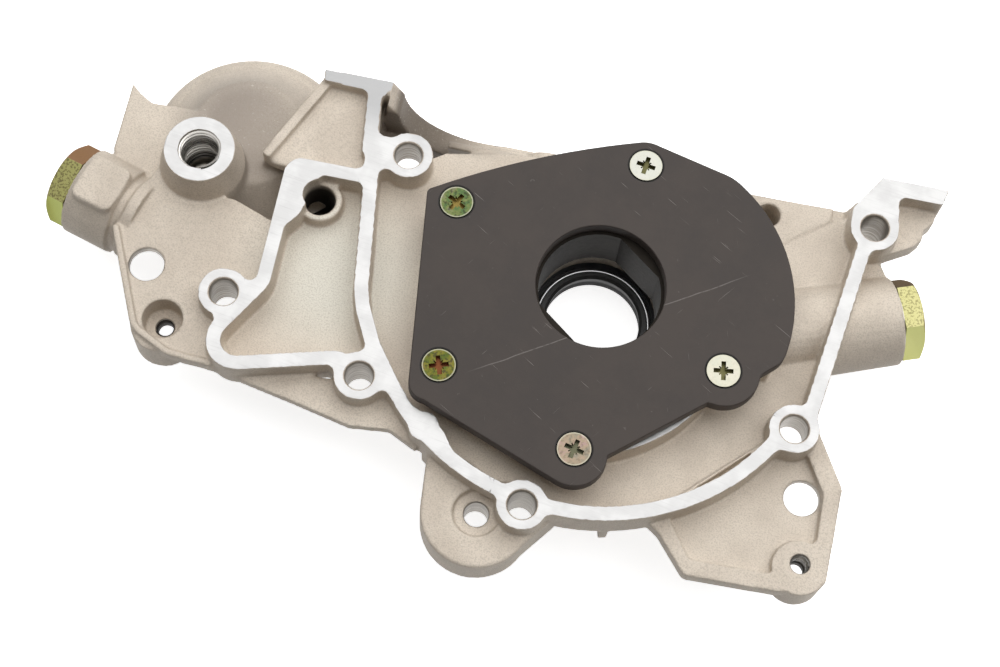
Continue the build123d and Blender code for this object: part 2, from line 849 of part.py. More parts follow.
    with BuildSketch(Plane.XY.offset(seal_front)):
        Circle(seal_outer / 2 + fit_gap)
    extrude(amount=seal_width, mode=Mode.SUBTRACT)
    # Bolt holes with a light chamfer at the gasket face
    with Locations(*[(x, y, 0) for x, y in bolts]):
        Hole(bolt_hole / 2, depth=through_cut)
        Cone(
            bolt_hole / 2,
            bolt_hole / 2 + 2 * bolt_chamfer,
            2 * bolt_chamfer,
            mode=Mode.SUBTRACT,
        )
    with Locations(*[(x, y, land_height) for x, y in screws]):
        Hole(screw_thread / 2, depth=screw_length)
    # Relief bore, its plug thread and the feed from the delivery port
    with BuildSketch(relief_plane):
        Circle(relief_bore / 2)
    extrude(amount=-relief_reach, mode=Mode.SUBTRACT)
    with BuildSketch(relief_plane):
        Circle(plug_thread / 2)
    extrude(amount=-plug_shank - drill_past, mode=Mode.SUBTRACT)
    with BuildSketch(relief_plane):
        Circle(washer_outer / 2 + fit_gap)
    extrude(amount=-spot_depth, mode=Mode.SUBTRACT)
    with BuildSketch(relief_plane.offset(-relief_reach)):
        Circle(relief_feed / 2)
    extrude(amount=-relief_feed_run, mode=Mode.SUBTRACT)
    with BuildSketch(spill_plane):
        Circle(spill_bore / 2)
    extrude(amount=spill_run.length, mode=Mode.SUBTRACT)
    with Locations((*spill_mouth, 0)):
        Hole(spill_bore / 2, depth=relief_depth + spill_bore / 2 + drill_past)
    # Gallery bore and its plug thread
    with BuildSketch(gallery_plane):
        Circle(gallery_bore / 2)
    extrude(amount=-gallery_reach, mode=Mode.SUBTRACT)
    with BuildSketch(gallery_plane):
        Circle(plug_thread / 2)
    extrude(amount=-plug_shank - drill_past, mode=Mode.SUBTRACT)
    with BuildSketch(gallery_plane):
        Circle(washer_outer / 2 + fit_gap)
    extrude(amount=-spot_depth, mode=Mode.SUBTRACT)
    # Filter bowl: ring channel, nipple thread and bypass bore
    with BuildSketch(Plane.XY.offset(-filter_seat_depth)):
        with Locations(filter_centre):
            Circle(annulus_outer)
            Circle(nipple_boss / 2, mode=Mode.SUBTRACT)
    extrude(amount=annulus_depth, mode=Mode.SUBTRACT)
    with BuildSketch(Plane.XY.offset(-filter_seat_depth)):
        with Locations(filter_centre):
            Circle(nipple_thread / 2 - nipple_step + fit_gap)
    extrude(amount=filter_seat_depth - outlet_cross_depth + outlet_cross / 2 + drill_past, mode=Mode.SUBTRACT)
    with BuildSketch(bypass_plane):
        Circle(bypass_bore / 2 + fit_gap)
    extrude(amount=bypass_depth, mode=Mode.SUBTRACT)
    # Pressure switch port, and the outlet from the filter to the cavity
    with Locations((*switch_centre, switch_height)):
        Hole(switch_thread / 2, depth=switch_height + switch_reach)
        Hole(switch_feed / 2, depth=switch_height + filter_seat_depth)
    with Locations((*outlet_centre, 0)):
        Hole(outlet_bore / 2, depth=outlet_cross_depth + outlet_cross / 2 + drill_past)
    with BuildSketch(outlet_plane):
        Circle(outlet_cross / 2)
    extrude(amount=outlet_run.length, mode=Mode.SUBTRACT)
    # Holes in the pan rail, foot, tab and flange
    with BuildSketch(Plane.XZ.offset(-pan_face)):
        with Locations(*[(x, -pan_front_depth + pan_front_wall / 2) for x in pan_screw_places]):
            Circle(pan_screw / 2)
    extrude(amount=pan_screw_depth, mode=Mode.SUBTRACT)
    with Locations((*foot_centre, -foot_depth)):
        Hole(foot_hole / 2, depth=through_cut)
    with BuildSketch(Plane.XY.offset(-foot_depth - foot_recess_depth)):
        with Locations(foot_centre):
            Circle(foot_recess / 2)
        with Locations(bolt_bottom):
            Circle(bolt_boss / 2, mode=Mode.SUBTRACT)
    extrude(amount=foot_recess_depth, mode=Mode.SUBTRACT)
    with Locations((*tab_hole_centre, 0)):
        Hole(tab_hole / 2, depth=through_cut)
    with Locations((*tab_screw_centre, 0)):
        Hole(tab_screw / 2, depth=through_cut)
    with Locations((*flange_hole_centre, 0)):
        Hole(flange_hole / 2, depth=through_cut)
    with Locations((*flange_screw_centre, -flange_depth)):
        CounterBoreHole(
            flange_screw / 2, flange_screw_recess / 2, flange_screw_depth, depth=through_cut
        )

finish(pump_housing, "pump_housing")

# Pinion on the crank, with two flats in its bore
with BuildSketch() as crank_section:
    Circle(crank_bore / 2)
    Rectangle(crank_flats, crank_bore, rotation=flats_angle, mode=Mode.INTERSECT)
with BuildPart() as inner_gear:
    with BuildSketch(Plane.XY.offset(gear_bottom)):
        Circle(pinion_root)
        with PolarLocations(0, pinion_teeth, start_angle=mesh_angle):
            add(tooth_sketch(pinion_teeth, pinion_root, pinion_tip, module * pi / 4 - backlash / 4))
        add(crank_section.sketch, mode=Mode.SUBTRACT)
    extrude(amount=gear_width)
finish(inner_gear, "inner_gear")

# Ring gear, with the spaces between its teeth cut from a disc
with BuildPart() as outer_gear:
    with BuildSketch(Plane(origin=(*ring_centre, gear_bottom))):
        Circle(ring_outer)
        Circle(ring_tip, mode=Mode.SUBTRACT)
        with PolarLocations(0, ring_teeth, start_angle=mesh_angle):
            add(
                tooth_sketch(ring_teeth, ring_tip, ring_root, module * pi / 4 + backlash / 4),
                mode=Mode.SUBTRACT,
            )
    extrude(amount=gear_width)
finish(outer_gear, "outer_gear")

# Steel cover plate
with BuildPart() as cover_plate:
    with BuildSketch(Plane.XY.offset(land_height)):
        add(cover_outline.sketch)
        Circle(cover_hole / 2, mode=Mode.SUBTRACT)
    extrude(amount=cover_thickness)
    with Locations(*[(x, y, cover_top) for x, y in screws]):
        CounterSinkHole(screw_thread / 2 + screw_gap, screw_recess / 2, counter_sink_angle=90)
finish(cover_plate, "cover_plate")

# Countersunk screws, each turned from its own end position
for number, (x, y) in enumerate(screws, start=1):
    with BuildPart() as cover_screw:
        with BuildSketch(Plane(origin=(x, y, cover_top), x_dir=(1, 0, 0), z_dir=(0, -1, 0))):
            with BuildLine():
                Polyline(
                    (0, 0),
                    (screw_head / 2, 0),
                    (screw_head / 2, -0.4),
                    (screw_thread / 2 - screw_gap, -0.4 - (screw_head - screw_thread) / 2 - screw_gap),
                    (screw_thread / 2 - screw_gap, -screw_length + 1),
                    (screw_thread / 2 - screw_gap - 1, -screw_length),
                    (0, -screw_length),
                    close=True,
                )
            make_face()
        revolve(axis=Axis((x, y, 0), (0, 0, 1)))
    finish(cover_screw, f"cover_screw_{number}")

# Crank seal: pressed steel case, rubber lip bonded in it, and the garter spring on the lip
seal_plane = Plane(origin=(0, 0, seal_front), x_dir=(1, 0, 0), z_dir=(0, -1, 0))
case_radius = seal_outer / 2
lip_radius = seal_shaft / 2
with BuildPart() as seal_case:
    with BuildSketch(seal_plane):
        with BuildLine():
            Polyline(
                (case_radius, 0),
                (case_radius, seal_width),
                (case_radius - seal_sheet, seal_width),
                (case_radius - seal_sheet, seal_sheet),
                (lip_radius + 2.6, seal_sheet),
                (lip_radius + 2.6, 0),
                close=True,
            )
        make_face()
    revolve(axis=Axis.Z)
finish(seal_case, "seal_case")

with BuildPart() as seal_lip:
    with BuildSketch(seal_plane):
        with BuildLine():
            Polyline(
                (case_radius - seal_sheet, seal_sheet),
                (case_radius - seal_sheet, seal_sheet + seal_rubber),
                (lip_radius + 3.4, seal_sheet + seal_rubber),
                (lip_radius + 2.4, seal_width - 3.2),
                (lip_radius + 2.4, seal_width - 0.6),
                (lip_radius + 0.9, seal_width - 0.6),
                (lip_radius, seal_width - 1.5),
                (lip_radius, seal_width - 1.5 - seal_band),
                (lip_radius + 1.2, seal_sheet + seal_rubber),
                (lip_radius + 0.6, seal_sheet),
                close=True,
            )
        make_face()
    revolve(axis=Axis.Z)
finish(seal_lip, "seal_lip")

with BuildPart() as seal_garter_spring:
    with BuildSketch(seal_plane):
        with Locations((lip_radius + 2.4 + garter_wire / 2 + fit_gap, seal_width - 2.0)):
            Circle(garter_wire / 2)
    revolve(axis=Axis.Z)
finish(seal_garter_spring, "seal_garter_spring")


def hex_plug(plane, turn):
    """Hexagon-headed screw plug with a chamfered head and a blind socket behind its thread."""
    seat = washer_thickness - spot_depth
    corner = plug_hex / sqrt(3) + fit_gap
    with BuildPart() as plug:
        with BuildSketch(plane.offset(seat)):
            Circle(corner)
        extrude(amount=plug_head - plug_chamfer)
        with BuildSketch(plane.offset(seat + plug_head - plug_chamfer)):
            Circle(corner)
        extrude(amount=plug_chamfer, taper=60.0)
        with BuildSketch(plane.offset(seat)):
            RegularPolygon(plug_hex / 2, 6, major_radius=False, rotation=turn)
        extrude(amount=plug_head, mode=Mode.INTERSECT)
        with BuildSketch(plane.offset(seat)):
            Circle(plug_thread / 2 - fit_gap)
        extrude(amount=-plug_shank)
        with BuildSketch(plane.offset(seat - plug_shank)):
            Circle(plug_thread / 2 - plug_wall)
        extrude(amount=plug_shank - plug_wall, mode=Mode.SUBTRACT)
    return plug


def seal_washer(plane):
    """Flat sealing washer in the spot face under a plug."""
    with BuildPart() as washer:
        with BuildSketch(plane.offset(-spot_depth)):
            Circle(washer_outer / 2)
            Circle(plug_thread / 2 + fit_gap, mode=Mode.SUBTRACT)
        extrude(amount=washer_thickness)
    return washer


finish(hex_plug(relief_plane, relief_plug_turn), "relief_plug")
finish(seal_washer(relief_plane), "relief_plug_washer")
finish(hex_plug(gallery_plane, gallery_plug_turn), "gallery_plug")
finish(seal_washer(gallery_plane), "gallery_plug_washer")

# Relief piston, a cup that stands on the feed hole, and the spring between it and the plug
piston_plane = relief_plane.offset(-relief_reach)
with BuildPart() as relief_piston:
    with BuildSketch(piston_plane):
        Circle(relief_bore / 2 - piston_gap)
    extrude(amount=piston_length)
    with BuildSketch(piston_plane.offset(piston_crown)):
        Circle(relief_bore / 2 - piston_gap - piston_wall)
    extrude(amount=piston_length - piston_crown, mode=Mode.SUBTRACT)
finish(relief_piston, "relief_piston")

plug_socket = washer_thickness - spot_depth - plug_wall
spring_seat = -relief_reach + piston_crown
relief_coil_radius = relief_bore / 2 - piston_gap - piston_wall - relief_coil_wire / 2 - 0.3
finish(
    spring(
        relief_plane.offset(spring_seat),
        relief_coil_radius,
        relief_coil_wire,
        relief_coil_turns,
        plug_socket - spring_seat,
    ),
    "relief_spring",
)

# Hollow threaded nipple for the spin-on filter, with a slimmer end screwed into the seat
nipple_end = -filter_seat_depth - nipple_stick_out
with BuildPart() as filter_nipple:
    with BuildSketch(Plane.XY.offset(nipple_end)):
        with Locations(filter_centre):
            Circle(nipple_thread / 2)
    extrude(amount=nipple_stick_out - nipple_undercut)
    with BuildSketch(Plane.XY.offset(nipple_end)):
        with Locations(filter_centre):
            Circle(nipple_thread / 2 - nipple_step)
    extrude(amount=nipple_stick_out + nipple_engagement)
    with BuildSketch(Plane.XY.offset(nipple_end)):
        with Locations(filter_centre):
            Circle(nipple_bore / 2)
    extrude(amount=nipple_stick_out + nipple_engagement, mode=Mode.SUBTRACT)
finish(filter_nipple, "filter_nipple")

# Bypass valve: a pressed-in seat, a disc that lifts off it, and the spring behind the disc
with BuildPart() as bypass_seat:
    with BuildSketch(bypass_plane):
        Circle(bypass_bore / 2)
        Circle(bypass_seat_hole / 2, mode=Mode.SUBTRACT)
    extrude(amount=bypass_seat_wall)
finish(bypass_seat, "bypass_seat")

with BuildPart() as bypass_disc:
    with BuildSketch(bypass_plane.offset(bypass_seat_wall)):
        Circle(bypass_bore / 2 - bypass_disc_gap)
    extrude(amount=bypass_disc_thickness)
finish(bypass_disc, "bypass_disc")

finish(
    spring(
        bypass_plane.offset(bypass_spring_start),
        bypass_bore / 2 - 1.2,
        bypass_coil_wire,
        bypass_coil_turns,
        bypass_depth - bypass_spring_start,
    ),
    "bypass_spring",
)
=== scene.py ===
import json
from math import pi, radians

import bmesh
import bpy
import numpy as np
from mathutils import Euler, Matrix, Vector


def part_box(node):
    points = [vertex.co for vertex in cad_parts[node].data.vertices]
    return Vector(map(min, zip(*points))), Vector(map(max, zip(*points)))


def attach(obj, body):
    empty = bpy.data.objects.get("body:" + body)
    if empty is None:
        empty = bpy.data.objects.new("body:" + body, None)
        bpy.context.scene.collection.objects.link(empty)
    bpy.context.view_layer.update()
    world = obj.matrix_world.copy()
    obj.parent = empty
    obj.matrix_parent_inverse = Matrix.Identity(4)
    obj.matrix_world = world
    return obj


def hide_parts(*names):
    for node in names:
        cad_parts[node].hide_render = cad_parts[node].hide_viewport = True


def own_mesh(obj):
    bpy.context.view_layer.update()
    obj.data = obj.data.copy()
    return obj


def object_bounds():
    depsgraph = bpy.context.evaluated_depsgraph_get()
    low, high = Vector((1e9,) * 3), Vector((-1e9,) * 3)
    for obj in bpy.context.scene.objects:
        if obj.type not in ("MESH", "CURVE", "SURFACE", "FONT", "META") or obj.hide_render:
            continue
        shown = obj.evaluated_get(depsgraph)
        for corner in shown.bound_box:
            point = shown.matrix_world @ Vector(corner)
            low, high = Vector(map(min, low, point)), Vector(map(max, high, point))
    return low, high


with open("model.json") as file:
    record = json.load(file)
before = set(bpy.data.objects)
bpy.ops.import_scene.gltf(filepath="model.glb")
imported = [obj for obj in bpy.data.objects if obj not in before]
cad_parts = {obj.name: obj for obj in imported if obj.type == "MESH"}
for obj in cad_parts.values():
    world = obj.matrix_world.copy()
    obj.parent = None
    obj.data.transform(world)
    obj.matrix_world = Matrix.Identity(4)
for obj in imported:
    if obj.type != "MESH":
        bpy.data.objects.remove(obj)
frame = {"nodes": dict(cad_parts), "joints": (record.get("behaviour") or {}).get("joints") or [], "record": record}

cad_low, cad_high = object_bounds()
scene = bpy.context.scene
scene.view_settings.view_transform = "Standard"


# Pump housing
# An aluminium die casting with sand-like skin and soft edges. The gasket rail, the switch ring, the pan
# edge and the bolt holes are machined bright afterwards. The copy of the solid gets its cast radii here,
# and a few small forms of the photograph.
mm = 0.001
skin_step = 0.55 * mm
skin_rounds = 4
casting_triangles = 190000
face_lift = 0.16 * mm
face_reach = 0.55 * mm
places = {mount["name"]: Vector(mount["pos_m"]) for mount in frame["record"]["mounts"]}
hole_radii = {mount["name"]: mount["dims"].get("r_mm", 0) * mm for mount in frame["record"]["mounts"]}
switch_middle = places["switch_port"].xy
filter_middle = places["filter_nipple"].xy
rail_level = 0.0
switch_level = 4.0 * mm
pan_level = 60.7 * mm
seat_level = -36.0 * mm
outlet_middle = (-97.4 * mm, 15.0 * mm, 0)
outlet_radius = 5.4 * mm
cavity_middle = (-86.0 * mm, -8.0 * mm, 0)
cavity_radius = 6.0 * mm
cavity_fade = 34.0 * mm
dome_radius = 12.0 * mm
dome_fade = 20.0 * mm
# Forms that the solid lacks or has in excess: each is an outline in millimetres, then its two levels
fillers = (
    # End of the left flange, against the rail
    (
        (-61.1, -57.3), (-57.5, -58.6), (-51.0, -61.7), (-48.0, -63.2), (-60.1, -48.4),
        (-65.9, -50.4),
        -10.5, -7.0,
    ),
    # Long bulge of the rail at the lower left
    (
        (-47.7, -58.5), (-40.0, -64.3), (-34.0, -65.1), (-37.0, -61.7), (-40.2, -57.2),
        (-44.8, -53.8), (-49.1, -51.9), (-54.5, -49.6),
        -9.0, 0.0,
    ),
    # Web between the right bolt boss and the relief valve
    (
        (86.1, 27.2), (90.0, 28.1), (94.2, 30.2), (92.1, 34.0), (90.6, 37.6),
        (86.4, 35.9),
        -20.0, -12.0,
    ),
    # Floor of the pocket beside the bar
    (
        (-90.3, 59.2), (-86.8, 43.4), (-76.7, 45.6), (-75.2, 51.8), (-81.1, 59.6),
        -24.0, -20.0,
    ),
)
trims = (
    # Top of the foot, inside the rail
    (
        (-36.0, -60.8), (-22.2, -68.0), (-16.5, -67.6), (-11.3, -66.3), (-8.0, -66.5),
        (-8.0, -60.0), (-36.0, -58.0),
        -9.45, -2.0,
    ),
    # Corner of the right lug
    (
        (73.0, 45.5), (77.2, 46.5), (87.0, 61.5), (87.0, 64.0), (73.0, 64.0),
        -22.2, 1.0,
    ),
)
blend_rounds = 70
blend_gain = 2.5
blend_floor = -20 * mm
switch_clear = 13.5 * mm
switch_ring = 13 * mm
seat_reach = 36 * mm
cast_dark, cast_light = (0.55, 0.48, 0.40), (0.67, 0.595, 0.503)
# painted light: lighter, greyer colour for the up-facing floors round the left pocket
floor_light_color = (0.70, 0.685, 0.605)
# painted shade on the dome below the flange
dome_shade_color = (0.28, 0.24, 0.205)
# painted shade in the deep hollow beside the bar
hollow_shade_color = (0.11, 0.085, 0.062)
speck_color = (0.80, 0.76, 0.69)
pit_color = (0.27, 0.225, 0.18)
# painted shade inside the outlet hole
outlet_shade_color = (0.03, 0.024, 0.018)
face_dark, face_light = (0.335, 0.332, 0.329), (0.385, 0.382, 0.378)
streak_color = (0.24, 0.236, 0.231)
# painted reflection: darker grey for the machined face of the bar
dim_reflection_grey = (0.235, 0.235, 0.235)
hole_dark, hole_light = (0.24, 0.215, 0.185), (0.46, 0.43, 0.39)
blend_spots = (
    (Vector((-130.0, 47.0, -12.0)) * mm, 21.0 * mm),
    (Vector((-119.5, 29.0, -11.0)) * mm, 10.0 * mm),
    (Vector((-121.5, 18.0, -14.0)) * mm, 11.0 * mm),
)


def add_node(tree, kind, inputs=None, **options):
    """Add a node, set its options, and fill its inputs with constants or links."""
    made = tree.nodes.new(kind)
    for name, value in options.items():
        setattr(made, name, value)
    for key, value in (inputs or {}).items():
        if isinstance(value, bpy.types.NodeSocket):
            tree.links.new(value, made.inputs[key])
        else:
            made.inputs[key].default_value = value
    return made


def math_node(tree, operation, *values):
    """Add a Math node and give back its result."""
    return add_node(tree, "ShaderNodeMath", dict(enumerate(values)), operation=operation).outputs[0]


def ramp(tree, value, low, high):
    """Smooth step of a value from 0 at low to 1 at high."""
    step = add_node(
        tree,
        "ShaderNodeMapRange",
        {"Value": value, "From Min": low, "From Max": high},
        interpolation_type="SMOOTHSTEP",
    )
    return step.outputs["Result"]


def mix_colors(tree, factor, first, second):
    """Mix two colours by a factor."""
    made = add_node(tree, "ShaderNodeMix", {"Factor": factor}, data_type="RGBA")
    for socket, value in ((made.inputs[6], first), (made.inputs[7], second)):
        if isinstance(value, bpy.types.NodeSocket):
            tree.links.new(value, socket)
        else:
            socket.default_value = (*value, 1)
    return made.outputs[2]


def mix_values(tree, factor, first, second):
    """Mix two plain values by a factor."""
    return add_node(tree, "ShaderNodeMix", {"Factor": factor, 2: first, 3: second}).outputs[0]


def new_group(name, inputs, outputs):
    """Start a shader node group with named inputs and outputs."""
    tree = bpy.data.node_groups.new(name, "ShaderNodeTree")
    for label, kind, value in inputs:
        socket = tree.interface.new_socket(label, in_out="INPUT", socket_type=kind)
        if value is not None:
            socket.default_value = value
    for label, kind in outputs:
        tree.interface.new_socket(label, in_out="OUTPUT", socket_type=kind)
    return tree, tree.nodes.new("NodeGroupInput"), tree.nodes.new("NodeGroupOutput")


def new_material(name):
    """Start a material and give back its tree, its Principled shader and its object coordinates."""
    material = bpy.data.materials.new(name)
    material.use_nodes = True
    tree = material.node_tree
    shader = tree.nodes["Principled BSDF"]
    place = add_node(tree, "ShaderNodeTexCoord")
    return material, tree, shader, place


def use_group(tree, group, inputs):
    """Place a node group in a material."""
    made = add_node(tree, "ShaderNodeGroup", node_tree=group)
    for key, value in inputs.items():
        if isinstance(value, bpy.types.NodeSocket):
            tree.links.new(value, made.inputs[key])
        else:
            made.inputs[key].default_value = value
    return made


def roughen(tree, shader, height, distance, strength=1.0):
    """Feed a height into the shader's normal."""
    bump = add_node(tree, "ShaderNodeBump", {"Height": height, "Distance": distance, "Strength": strength})
    tree.links.new(bump.outputs["Normal"], shader.inputs["Normal"])


def noise(tree, vector, scale, detail=2.0, roughness=0.5):
    """Noise value from 0 to 1."""
    made = add_node(
        tree,
        "ShaderNodeTexNoise",
        {"Vector": vector, "Scale": scale, "Detail": detail, "Roughness": roughness},
    )
    return made.outputs[0]


# Cast skin, shared by what is left as cast: a fine grain, and slow patches of lighter and darker metal
cast_skin, given, result = new_group(
    "Cast skin",
    [("Vector", "NodeSocketVector", None), ("Grain", "NodeSocketFloat", 1900.0)],
    [
        ("Height", "NodeSocketFloat"),
        ("Grain", "NodeSocketFloat"),
        ("Patches", "NodeSocketFloat"),
        ("Specks", "NodeSocketFloat"),
    ],
)
grain = noise(cast_skin, given.outputs["Vector"], given.outputs["Grain"], 3.0, 0.65)
swell = noise(cast_skin, given.outputs["Vector"], 160.0, 2.0)
patches = noise(cast_skin, given.outputs["Vector"], 42.0, 5.0, 0.6)
specks = noise(cast_skin, given.outputs["Vector"], 850.0, 2.0, 0.7)
height = math_node(cast_skin, "MULTIPLY_ADD", swell, 0.9, grain)
cast_skin.links.new(height, result.inputs["Height"])
cast_skin.links.new(grain, result.inputs["Grain"])
cast_skin.links.new(patches, result.inputs["Patches"])
cast_skin.links.new(ramp(cast_skin, specks, 0.62, 0.78), result.inputs["Specks"])

# Tool marks, shared by machined faces: long fine streaks across the feed
tool_marks, given, result = new_group(
    "Tool marks",
    [
        ("Vector", "NodeSocketVector", None),
        ("Turn", "NodeSocketFloat", 0.0),
        ("Spacing", "NodeSocketFloat", 2600.0),
    ],
    [("Streaks", "NodeSocketFloat"), ("Smudges", "NodeSocketFloat")],
)
turned = add_node(
    tool_marks,
    "ShaderNodeVectorRotate",
    {"Vector": given.outputs["Vector"], "Angle": given.outputs["Turn"]},
    rotation_type="Z_AXIS",
)
stretched = add_node(
    tool_marks,
    "ShaderNodeVectorMath",
    {0: turned.outputs[0], 1: (0.03, 1.0, 1.0)},
    operation="MULTIPLY",
)
streaks = noise(tool_marks, stretched.outputs[0], given.outputs["Spacing"], 3.0, 0.6)
smudges = noise(tool_marks, given.outputs["Vector"], 110.0, 4.0, 0.55)
tool_marks.links.new(streaks, result.inputs["Streaks"])
tool_marks.links.new(smudges, result.inputs["Smudges"])

# Round spot, shared by drilled holes: a mask inside a radius round an axis along Z
round_spot, given, result = new_group(
    "Round spot",
    [
        ("Vector", "NodeSocketVector", None),
        ("Centre", "NodeSocketVector", None),
        ("Radius", "NodeSocketFloat", 4.5 * mm),
        ("Fade", "NodeSocketFloat", 0.35 * mm),
    ],
    [("Mask", "NodeSocketFloat")],
)
away = add_node(
    round_spot,
    "ShaderNodeVectorMath",
    {0: given.outputs["Vector"], 1: given.outputs["Centre"]},
    operation="SUBTRACT",
)
flat = add_node(
    round_spot, "ShaderNodeVectorMath", {0: away.outputs[0], 1: (1, 1, 0)}, operation="MULTIPLY"
)
span = add_node(
    round_spot, "ShaderNodeVectorMath", {0: flat.outputs[0]}, operation="LENGTH"
).outputs["Value"]
brim = math_node(round_spot, "ADD", given.outputs["Radius"], given.outputs["Fade"])
round_spot.links.new(ramp(round_spot, span, brim, given.outputs["Radius"]), result.inputs["Mask"])


def baked(piece):
    """Plain mesh of an object with its modifiers applied."""
    bpy.context.view_layer.update()
    return bpy.data.meshes.new_from_object(piece.evaluated_get(bpy.context.evaluated_depsgraph_get()))


def own_copy(node, name):
    """Object with a welded copy of a node's mesh, to be shaped further."""
    mesh = frame["nodes"][node].data.copy()
    mesh.materials.clear()
    shape = bmesh.new()
    shape.from_mesh(mesh)
    bmesh.ops.remove_doubles(shape, verts=shape.verts, dist=2e-6)
    shape.to_mesh(mesh)
    shape.free()
    piece = bpy.data.objects.new(name, mesh)
    scene.collection.objects.link(piece)
    return piece


casting = own_copy("pump_housing", "pump_casting")


def add_prisms(mesh, prisms):
    """Add upright prisms to a mesh, each given by its outline and its two levels in millimetres."""
    shape = bmesh.new()
    shape.from_mesh(mesh)
    for *outline, low, high in prisms:
        foot = [shape.verts.new((x * mm, y * mm, low * mm)) for x, y in outline]
        top = [shape.verts.new((x * mm, y * mm, high * mm)) for x, y in outline]
        shape.faces.new(foot[::-1])
        shape.faces.new(top)
        for side in range(len(foot)):
            shape.faces.new((foot[side - 1], foot[side], top[side], top[side - 1]))
    shape.to_mesh(mesh)
    shape.free()


cutter = bpy.data.objects.new("trims", bpy.data.meshes.new("trims"))
scene.collection.objects.link(cutter)
add_prisms(cutter.data, trims)
trimmed = casting.modifiers.new("Trims", "BOOLEAN")
trimmed.object = cutter
trimmed.solver = "EXACT"
casting.data = baked(casting)
casting.modifiers.clear()
bpy.data.objects.remove(cutter)
add_prisms(casting.data, fillers)
skin = casting.modifiers.new("Even skin", "REMESH")
skin.mode = "VOXEL"
skin.voxel_size = skin_step
radii = casting.modifiers.new("Cast radii", "SMOOTH")
radii.factor = 0.5
radii.iterations = skin_rounds
casting.data = baked(casting)
casting.modifiers.clear()

# The dome, the web and the valley beside the switch run into each other in wide soft blends
blend = casting.vertex_groups.new(name="Blends")
for vertex in casting.data.vertices:
    if (vertex.co.xy - switch_middle).length > switch_clear and vertex.co.z > blend_floor:
        nearness = max(1 - (vertex.co - middle).length / reach for middle, reach in blend_spots)
        if nearness > 0:
            blend.add([vertex.index], min(1, blend_gain * nearness), "REPLACE")
softening = casting.modifiers.new("Blends", "SMOOTH")
softening.factor = 0.5
softening.iterations = blend_rounds
softening.vertex_group = blend.name
casting.data = baked(casting)
casting.modifiers.clear()
casting.vertex_groups.clear()

# Machined faces are cut flat again after the edges were rounded
points = np.empty(len(casting.data.vertices) * 3)
casting.data.vertices.foreach_get("co", points)
points = points.reshape(-1, 3)
normals = np.empty(len(casting.data.vertices) * 3)
casting.data.vertices.foreach_get("normal", normals)
normals = normals.reshape(-1, 3)
from_switch = np.hypot(*(points[:, :2] - switch_middle).T)
from_filter = np.hypot(*(points[:, :2] - filter_middle).T)
everywhere = np.ones(len(points), bool)
for axis, sense, level, where in (
    (2, 1, rail_level, everywhere),
    (2, 1, switch_level, from_switch < switch_ring),
    (1, 1, pan_level, from_filter > seat_reach),
    (2, -1, seat_level, from_filter < seat_reach),
):
    depth = sense * (points[:, axis] - level)
    near = where & (np.abs(depth) < face_reach) & (sense * normals[:, axis] > 0.35)
    points[near, axis] = level + sense * np.minimum(0, depth[near] + face_lift)
casting.data.vertices.foreach_set("co", points.ravel())
casting.data.update()
lighter = casting.modifiers.new("Lighter mesh", "DECIMATE")
lighter.ratio = casting_triangles / (2 * len(casting.data.polygons))
casting.data = baked(casting)
casting.modifiers.clear()


def shade_evenly(piece):
    """Smooth shading in which large faces lead."""
    piece.data.polygons.foreach_set("use_smooth", [True] * len(piece.data.polygons))
    even = piece.modifiers.new("Even shading", "WEIGHTED_NORMAL")
    even.weight = 80
    piece.data = baked(piece)
    piece.modifiers.clear()


shade_evenly(casting)

cast_metal, tree, shader, place = new_material("Cast aluminium")
spot = place.outputs["Object"]
split_spot = add_node(tree, "ShaderNodeSeparateXYZ", {0: spot})
facing = add_node(tree, "ShaderNodeSeparateXYZ", {0: place.outputs["Normal"]})


def on_level(value, level, normal, sense):
    """Mask of a machined face at a level on one axis, facing one way."""
    off = math_node(tree, "ABSOLUTE", math_node(tree, "SUBTRACT", value, level))
    near_level = ramp(tree, off, 0.16 * mm, 0.05 * mm)
    turned_way = ramp(tree, math_node(tree, "MULTIPLY", normal, sense), 0.75, 0.93)
    return math_node(tree, "MULTIPLY", near_level, turned_way)


machined = on_level(split_spot.outputs["Z"], rail_level, facing.outputs["Z"], 1.0)
for value, level, normal, sense in (
    ("Z", switch_level, "Z", 1.0),
    ("Y", pan_level, "Y", 1.0),
    ("Z", seat_level, "Z", -1.0),
):
    face = on_level(split_spot.outputs[value], level, facing.outputs[normal], sense)
    machined = math_node(tree, "MAXIMUM", machined, face)
drilled = 0.0
for name in places:
    if hole_radii[name] and name not in ("crank_seal", "filter_nipple") and not name.startswith("pan"):
        hole = use_group(
            tree, round_spot, {"Vector": spot, "Centre": places[name], "Radius": hole_radii[name]}
        )
        drilled = math_node(tree, "MAXIMUM", hole.outputs["Mask"], drilled)
drilled = math_node(tree, "MULTIPLY", drilled, math_node(tree, "SUBTRACT", 1.0, machined))
skin_look = use_group(tree, cast_skin, {"Vector": spot})
marks = use_group(tree, tool_marks, {"Vector": spot, "Turn": radians(9.0)})
cast_color = mix_colors(tree, ramp(tree, skin_look.outputs["Patches"], 0.35, 0.68), cast_dark, cast_light)
# Painted light: up-facing floors round the pocket at the left turn lighter and greyer, fading over a wide radius
cavity = use_group(
    tree,
    round_spot,
    {"Vector": spot, "Centre": cavity_middle, "Radius": cavity_radius, "Fade": cavity_fade},
)
painted_floor_light = math_node(tree, "MULTIPLY", cavity.outputs["Mask"], ramp(tree, facing.outputs["Z"], 0.85, 0.97))
cast_color = mix_colors(tree, math_node(tree, "MULTIPLY", painted_floor_light, 0.8), cast_color, floor_light_color)
